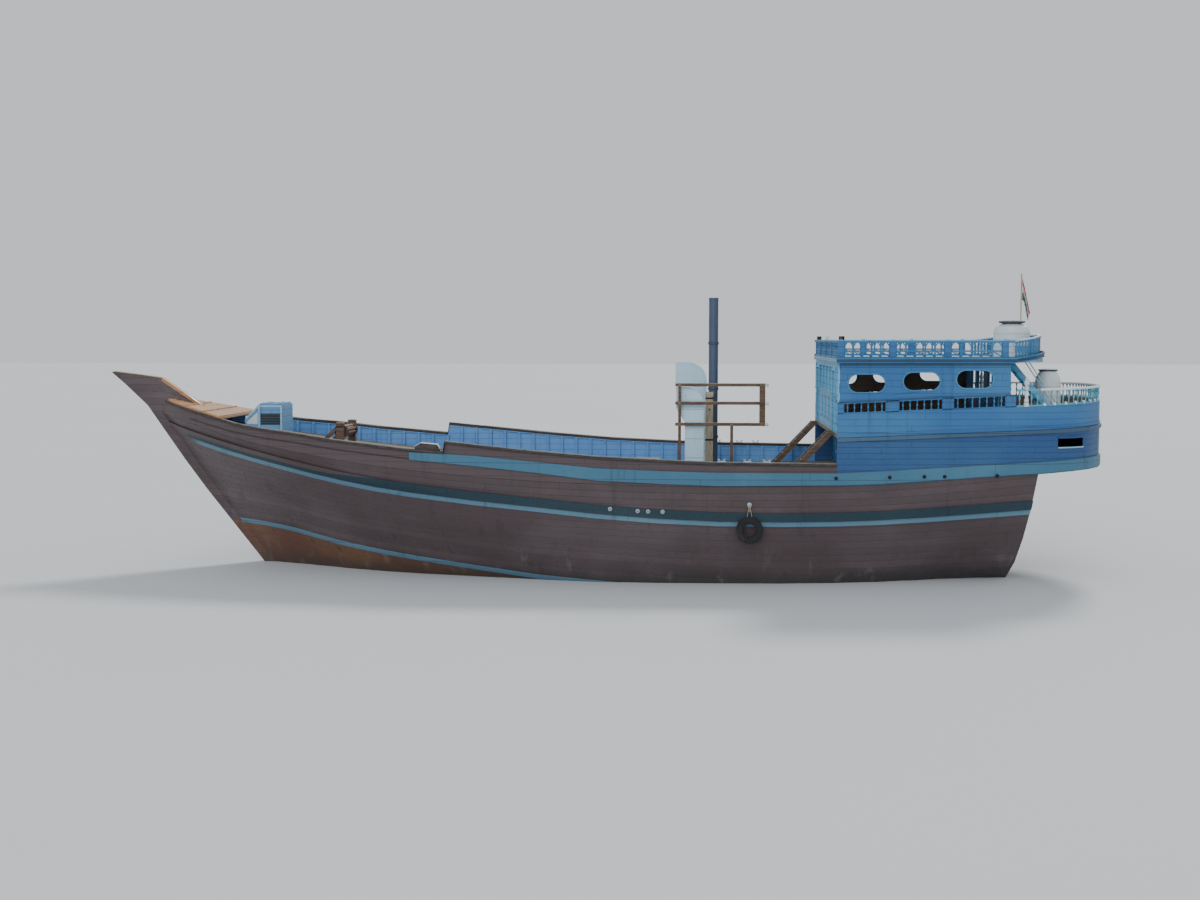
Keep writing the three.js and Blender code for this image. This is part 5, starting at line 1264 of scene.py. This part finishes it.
def companion_trim():
    """Pale beads along the edges of the forepeak hatch's house."""
    trim = Shape()
    for y in (0.702, -0.702):
        corner = (COMPANION_EDGE + 0.015, y, COMPANION_TOP)
        trim.bar((COMPANION_AFT, y, COMPANION_TOP), (COMPANION_EDGE, y, COMPANION_TOP), 0.02, 0.06)
        trim.bar(corner, (COMPANION_FORE, y, COMPANION_TOE), 0.02, 0.06)
        for x in (COMPANION_AFT + 0.02, COMPANION_EDGE - 0.01):
            trim.bar((x, y, deck(x) + 0.03), (x, y, 5.64), 0.02, 0.06, (1, 0, 0))
    for y in (-0.66, 0.66):
        trim.bar((12.91, y, 5.695), (13.38, y, 5.205), 0.06, 0.02)
    trim.make("companion_trim", pale_blue, bevel=0.004)


def companion_sides():
    """Recess of painted shade with darkened slats, white corner board and knob on each side."""
    dark, slats, corner = Shape(), Shape(), Shape()
    knob = [(0.02, 0.0), (0.045, 0.02), (0.05, 0.05), (0.035, 0.085), (0.01, 0.1)]
    for y in (0.7005, -0.7075):
        # Dark board that paints the shade inside the recess.
        dark.box(RECESS_AFT, RECESS_FORE, y, y + 0.007, 5.0, 5.4)
        corner.rings([section(x, y, y + 0.007, 5.02, z) for x, z in ((12.93, 5.44), (13.32, 5.1))])
        for k in range(4):
            z = 5.07 + 0.095 * k
            slats.bar((RECESS_AFT, y + 0.008, z), (RECESS_FORE, y + 0.008, z), 0.02, 0.022)
        corner.lathe(knob, (13.34, y * 0.93, 5.215))
    dark.make("companion_recess", shadow_paint)
    slats.make("companion_slats", shaded_slat_paint)
    corner.make("companion_corner", white_paint)


def lid_work():
    """Straps, battens and a handle on the forepeak lid, which lift with it."""
    irons, wood = Shape(), Shape()
    for y in (-0.4, 0.4):
        irons.box(12.4, 12.87, y - 0.03, y + 0.03, LID_TOP + 0.0005, LID_TOP + 0.007)
    handle = ((-0.09, 0), (-0.08, 0.045), (0.08, 0.045), (0.09, 0))
    wood.tube([(12.2, y, LID_TOP + rise) for y, rise in handle], 0.01, 8)
    for x in (12.14, 12.8):
        wood.box(x - 0.035, x + 0.035, -0.62, 0.62, LID_TOP + 0.0002, LID_TOP + 0.017)
    irons.make("lid_straps", black_steel, body="lid", bevel=0.002)
    wood.make("lid_battens", light, body="lid", bevel=0.004)


# Rows: name, centre, foot, radius, height, lid's radius.
TANKS = (
    ("roof", -13.35, 1.2, 7.4203, 0.6, 1.18, 0.38),
    ("gallery", -14.54, 1.4, upper_deck(-14.97) + 0.0003, 0.43, 1.7, 0.26),
)


def tank_work():
    for name, x, y, z, radius, tall, lid in TANKS:
        ribs, cap, pipe = Shape(), Shape(), Shape()
        inner, outer, rim, wall = radius - 0.01, radius + 0.012, lid + 0.05, x + radius
        for share in (0.16, 0.34, 0.52, 0.7):
            h = tall * share
            rib = [(inner, h - 0.035), (outer, h - 0.02), (outer, h + 0.02), (inner, h + 0.035)]
            ribs.lathe(rib, (x, y, z), 32)
        cap.lathe([(lid * 0.9, tall - 0.03), (rim, tall), (rim, tall + 0.045), (lid * 0.6, tall + 0.07),
                   (0.03, tall + 0.075)], (x, y, z), 28)
        for u, v in circle(12):
            cap.lathe([(0.016, tall), (0.016, tall + 0.05)], (x + rim * u, y + rim * v, z), 6)
        bend = ((-0.01, 0.12), (0.09, 0.12), (0.13, 0.09), (0.13, 0.01))
        pipe.tube([(wall + out, y, z + up) for out, up in bend], 0.022)
        ribs.make(f"{name}_tank_ribs", tank_plastic, smooth=50)
        cap.make(f"{name}_tank_lid", lid_plastic)
        pipe.make(f"{name}_tank_pipe", pale_metal, slot="tank_plastic")


LADDER_TOP, LADDER_FOOT = (-7.09, 4.98), (-5.56, 3.36)
AFT_LADDER_RAIL = ((-14.52, 5.35), (-14.5, 6.0), (-13.2, 7.95), (-12.95, 8.05), (-12.88, 7.9), (-12.88, 7.45))


def ladder_work():
    """Pale strips of painted highlight on the deck ladders' upper edges, and handrails of the ladder to the
    roof.
    """
    edges, aft = Shape(), Shape()
    for y in (2.7225, -2.7225, 3.4375, -3.4375):
        a, b = [(x + 0.112, y, z + 0.02) for x, z in (LADDER_FOOT, LADDER_TOP)]
        edges.bar(a, b, 0.05, 0.012, (0.7, 0, 0.7))
    for y in (2.0, 2.6):
        aft.tube([(x, y, z) for x, z in AFT_LADDER_RAIL], 0.018)
    edges.make("ladder_edge_highlights", edge_highlight, slot="brown_wood")
    aft.make("aft_ladder_rails", pale_blue)


TYRE_X, TYRE_Z = -4.4, 1.88
TYRE_BACK = 0.4255
# Rows: radius, distance from the tyre's middle plane.
TYRE_RIBS = ((0.415, 0.0785), (0.26, 0.0885), (0.235, 0.084))
EYE_Y, EYE_Z = half_breadth(TYRE_X) + 0.055, 2.62


def tyre_y():
    low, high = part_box("tyre_fender")
    return (low[1] + high[1]) / 2


def tyre_tread():
    """Blocks across the tyre's back and moulded ribs on its shoulders."""
    tread, x, y, z, r = Shape(), TYRE_X, tyre_y(), TYRE_Z, TYRE_BACK
    count = 44
    for k in range(count):
        t = 2 * math.pi * k / count
        for side in (-1, 1):
            near, far = t + side * 0.025, t + side * 0.045
            u, v = math.cos(near), math.sin(near)
            a = (x + r * u, y + side * 0.008, z + r * v)
            b = (x + r * math.cos(far), y + side * 0.058, z + r * math.sin(far))
            tread.bar(a, b, 0.026, 0.012, (u, 0, v))
    for radius, out in TYRE_RIBS:
        for s in (1, -1):
            tread.hoop((x, y + s * out, z), radius, 0.006, 40, 6, "Y")
    tread.make("tyre_tread", rubber)


def tyre_rope():
    """Two strands from the eye into the tyre, with three turns at the eye."""
    rope, iron, x, y, z = Shape(), Shape(), TYRE_X, tyre_y(), TYRE_Z
    for s in (1, -1):
        rope.tube([(x + s * 0.02, EYE_Y + 0.02, EYE_Z), (x + s * 0.07, y - 0.02, z + 0.46),
                   (x + s * 0.08, y, z + 0.39)], 0.014)
    for k in range(3):
        rope.hoop((x, EYE_Y + 0.03 + 0.01 * k, EYE_Z - 0.06 - 0.03 * k), (0.035, 0.03), 0.014, 12, 8, "Y")
    iron.hoop((x, EYE_Y + 0.02, EYE_Z + 0.03), 0.045, 0.012, 16, 8, "Y")
    iron.lathe([(0.075, -0.05), (0.075, 0.0), (0.05, 0.012)], (x, EYE_Y - 0.01, EYE_Z + 0.07), 14, "Y")
    rope.make("tyre_rope", rope_fibre, smooth=60)
    iron.make("tyre_eye", pale_metal, slot="black_steel")


HELM_DECK = upper_deck(-8.35) + 0.0003
PEDESTAL_TOP = HELM_DECK + 0.9
WHEEL_CENTRE = Vector((-8.44, 0, HELM_DECK + 0.78))
# Rows: distance from the wheel's centre, radius.
GRIP = ((0.35, 0.016), (0.37, 0.022), (0.4, 0.024), (0.43, 0.022), (0.445, 0.012))


def pedestal_work():
    """Compass, top and foot boards and battens on the steering pedestal."""
    brass, wood, top = Shape(), Shape(), PEDESTAL_TOP
    bowl = [(0.14, 0.0), (0.15, 0.01), (0.14, 0.05), (0.12, 0.1), (0.1, 0.11)]
    brass.lathe(bowl, (-8.2, 0, top + 0.02), 24)
    wood.box(-8.37, -8.03, -0.24, 0.24, top, top + 0.022)
    wood.box(-8.37, -8.03, -0.24, 0.24, HELM_DECK + 0.001, HELM_DECK + 0.06)
    for y in (-0.2, 0.2):
        wood.box(-8.358, -8.35, y - 0.03, y + 0.03, HELM_DECK + 0.06, top)
    brass.make("compass_bowl", bronze)
    wood.make("pedestal_trim", brown_wood, bevel=0.006)


def wheel_work():
    """Grips and boss, which turn with the wheel."""
    grips, boss = Shape(), Shape()
    for u, v in circle(6):
        grips.tube([WHEEL_CENTRE + Vector((0, r * v, r * u)) for r, _ in GRIP], [wide for _, wide in GRIP])
    boss.lathe([(0.075, -0.05), (0.075, -0.045), (0.05, -0.056), (0.02, -0.058)], WHEEL_CENTRE, 20, "X")
    grips.make("wheel_grips", brown_wood, body="wheel", smooth=60)
    boss.make("wheel_boss", bronze, body="wheel")


LAMP_X, LAMP_FOOT = -7.3, 8.022
SIDE_LENS = ((0.032, 0.0), (0.036, 0.012), (0.036, 0.07), (0.026, 0.09), (0.014, 0.1))
FRONT_LENS = ((0.05, 0.0), (0.06, 0.01), (0.06, 0.1), (0.04, 0.13), (0.02, 0.14))
LAMP_BOX_FOOT, LAMP_BOX_TOP = 8.011, 8.14
STAFF_X, STAFF_TOP = -13.9, 10.245


def lamps():
    """Side lamps in their boxes, the front lamp and the flagstaff's fittings."""
    boxes, red, green, clear, staff = Shape(), Shape(), Shape(), Shape(), Shape()
    x = LAMP_X
    for s, lens in ((1, red), (-1, green)):
        y = s * roof_side(x)
        boxes.box(x - 0.1, x + 0.07, y - s * 0.08, y - s * 0.065, LAMP_BOX_FOOT, LAMP_BOX_TOP)
        boxes.box(x - 0.1, x - 0.085, y - s * 0.08, y + s * 0.06, LAMP_BOX_FOOT, LAMP_BOX_TOP)
        boxes.box(x - 0.1, x + 0.07, y - s * 0.08, y + s * 0.06, LAMP_BOX_FOOT, LAMP_FOOT)
        lens.lathe(SIDE_LENS, (x, y, LAMP_FOOT), 16)
    clear.lathe(FRONT_LENS, (ROOF_FRONT, 0, 8.02), 16)
    staff.lathe([(0.05, 0.0), (0.05, 0.012), (0.03, 0.02)], (STAFF_X, 0, 7.4205), 14)
    staff.lathe([(0.02, 0.0), (0.034, 0.01), (0.034, 0.03), (0.0, 0.05)], (STAFF_X, 0, STAFF_TOP), 14)
    cleat = ((0, 0.03), (0.04, 0.04), (0.04, -0.04), (0, -0.03))
    staff.tube([(STAFF_X + dx, y, 8.2) for dx, y in cleat], 0.008, 6)
    boxes.make("sidelight_boxes", black_steel, bevel=0.003)
    red.make("sidelight_port", lamp_red)
    green.make("sidelight_starboard", lamp_green)
    clear.make("front_lamp", lamp_clear)
    staff.make("staff_fittings", pale_metal)


# Flag: a sheet pinned along the staff, which falls and folds under its own weight.


FLAG_FLY, FLAG_HOIST = 1.3, 0.8
FLAG_COLUMNS, FLAG_ROWS = 52, 32
FLAG_PIN_X, FLAG_TOP = -13.93, 10.18
FLAG_ROOM, WALL_OUTER = 0.088, 0.4
WALL_RUN, WALL_LEVELS = (-15.0, -13.5), (8.0, 10.6)
FLAG_FRAMES = 30
FLAG_WAVES, FLAG_LEAN = 7, 0.24
CLOTH_GAP = 0.004
BUNTING = {
    "quality": 6, "mass": 0.001, "air_damping": 1.5, "tension_stiffness": 12, "compression_stiffness": 12,
    "shear_stiffness": 4, "bending_stiffness": 0.02,
}


def folds(reach, steps=700):
    """Directions of the folds that hang from the flag's top corner, as (angle in the flat sheet, x, y)."""
    found, turned, last = [], 0.0, (0.0, 0.0)
    for k in range(steps + 1):
        share = k / steps
        spot = (-FLAG_LEAN * share, reach * math.sin(2 * math.pi * FLAG_WAVES * share))
        turned += math.dist(spot, last)
        found.append((turned, *spot))
        last = spot
    return found


def fitted_folds():
    """Folds just deep enough to take up the sheet's right angle at that corner."""
    low, high = 0.0, 0.2
    while high - low > 1e-5:
        middle = (low + high) / 2
        low, high = (middle, high) if folds(middle)[-1][0] < math.pi / 2 else (low, middle)
    return folds(low)


FLAG_FOLDS = fitted_folds()


def flag_start(u, v):
    """Folded place of the point u along the fly and v down the hoist, with all lengths kept."""
    reach, turn = math.hypot(u, v), math.atan2(u, v)
    x, y = (along(FLAG_FOLDS, turn, column) for column in (1, 2))
    down = math.sqrt(1 - x * x - y * y)
    return (FLAG_PIN_X + reach * x, reach * y, FLAG_TOP - reach * down)


def flag_mesh():
    spots = [(FLAG_FLY * i / FLAG_COLUMNS, FLAG_HOIST * j / FLAG_ROWS)
             for j in range(FLAG_ROWS + 1) for i in range(FLAG_COLUMNS + 1)]
    row = FLAG_COLUMNS + 1
    faces = [(a, a + 1, a + row + 1, a + row) for j in range(FLAG_ROWS)
             for a in range(j * row, j * row + FLAG_COLUMNS)]
    mesh = mesh_of("flag_sheet", [flag_start(u, v) for u, v in spots], faces)
    flat = mesh.uv_layers.new(name="flat")
    for loop in mesh.loops:
        u, v = spots[loop.vertex_index]
        flat.data[loop.index].uv = (u / FLAG_FLY, v / FLAG_HOIST)
    return mesh, spots


def flag_walls():
    """Two blocks that keep the cloth's folds within the room beside the staff."""
    walls = []
    for y0, y1 in ((-WALL_OUTER, -FLAG_ROOM), (FLAG_ROOM, WALL_OUTER)):
        shape = Shape().box(*WALL_RUN, y0, y1, *WALL_LEVELS)
        wall = placed("flag_wall", mesh_of("flag_wall", shape.points, shape.faces))
        wall.modifiers.new("stop", "COLLISION")
        wall.collision.thickness_outer = 0.01
        walls.append(wall)
    return walls


def settle(flag, spots):
    """Runs the cloth and keeps its last shape."""
    flag.shape_key_add(name="Basis")
    rest = flag.shape_key_add(name="rest")
    for point, (u, v) in zip(rest.data, spots):
        point.co = (FLAG_PIN_X - u, 0, FLAG_TOP - v)
    pinned = flag.vertex_groups.new(name="hoist")
    pinned.add([i for i, (u, v) in enumerate(spots) if u == 0], 1.0, "REPLACE")
    cloth = flag.modifiers.new("cloth", "CLOTH")
    cloth.settings.rest_shape_key = rest
    cloth.settings.vertex_group_mass = "hoist"
    for name, value in BUNTING.items():
        setattr(cloth.settings, name, value)
    cloth.collision_settings.use_self_collision = True
    cloth.collision_settings.self_distance_min = cloth.collision_settings.distance_min = CLOTH_GAP
    cloth.point_cache.frame_start, cloth.point_cache.frame_end = 1, FLAG_FRAMES
    walls = flag_walls()
    scene = bpy.context.scene
    for number in range(1, FLAG_FRAMES + 1):
        scene.frame_set(number)
    fallen = bpy.data.meshes.new_from_object(flag.evaluated_get(bpy.context.evaluated_depsgraph_get()))
    flag.modifiers.remove(cloth)
    flag.shape_key_clear()
    flag.data = fallen
    scene.frame_set(1)
    for wall in walls:
        bpy.data.objects.remove(wall)


def flag_work():
    mesh, spots = flag_mesh()
    flag = placed("flag_sheet", mesh)
    settle(flag, spots)
    flag.data.materials.clear()
    flag.data.materials.append(flag_cloth)
    for face in flag.data.polygons:
        face.use_smooth = True
    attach(flag, BOAT)
    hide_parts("flag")


for build in (
    roof_rail, roof_rail_end, side_strip, gallery_work, window_rims, front_joinery, aft_joinery,
    side_mouldings, poop_lines, freeing_ports, bulkhead_work, door_work, bulwark_timbers, rail_strips,
    rail_cleats, step_block, spouts, stem_strip, platform_battens, cowl_work, stack_work, post_work,
    rack_work, windlass_drum, windlass_posts, hatch_work, companion_trim, companion_sides, lid_work,
    tank_work, ladder_work, tyre_tread, tyre_rope, pedestal_work, wheel_work, lamps, flag_work,
):
    build()


# Camera, light and floor.


CAMERA_PLACE, CAMERA_TARGET = (-2.64, 52.0, 8.1), (0.75, 0.0, 4.1)
LENS, SENSOR, FARTHEST = 44, 36, 500
# Rows: name, place, power, width in degrees, colour.
SUNS = (
    ("key", (-14, -38, 40), 2.0, 12, (1.0, 0.97, 0.92)),
    ("fill", (16, 62, 34), 1.1, 40, (0.9, 0.95, 1.0)),
)
SUN_TARGET = (0, 0, 4)
SKY, SKY_POWER = (0.93, 0.97, 1.0, 1), 0.76
FLOOR_REACH = 400
FLOOR_COLOURS = ((0.575, 0.595, 0.615), (0.615, 0.635, 0.655))


def aim(thing, place, target):
    thing.location = place
    thing.rotation_euler = (Vector(target) - Vector(place)).to_track_quat("-Z", "Y").to_euler()


def floor_mesh():
    mesh = mesh_of("floor", [(x * FLOOR_REACH, y * FLOOR_REACH, 0) for x, y in CORNERS], [(0, 1, 2, 3)])
    g = Graph("floor_paper", 0.85)
    shade = g.noise(g.scaled(0.05, 0.05, 0.05), 1.0)
    mesh.materials.append(g.done(g.blend(shade, *FLOOR_COLOURS)))
    return mesh


def stage():
    camera = placed("camera", bpy.data.cameras.new("camera"))
    camera.data.lens, camera.data.sensor_width, camera.data.clip_end = LENS, SENSOR, FARTHEST
    aim(camera, CAMERA_PLACE, CAMERA_TARGET)
    bpy.context.scene.camera = camera
    for name, place, power, width, colour in SUNS:
        lamp = placed(name, bpy.data.lights.new(name, "SUN"))
        lamp.data.angle, lamp.data.energy, lamp.data.color = math.radians(width), power, colour
        aim(lamp, place, SUN_TARGET)
    world = bpy.data.worlds.new("studio")
    world.use_nodes = True
    sky = world.node_tree.nodes["Background"].inputs
    sky[0].default_value, sky[1].default_value = SKY, SKY_POWER
    bpy.context.scene.world = world
    floor = placed("floor", floor_mesh())


stage()
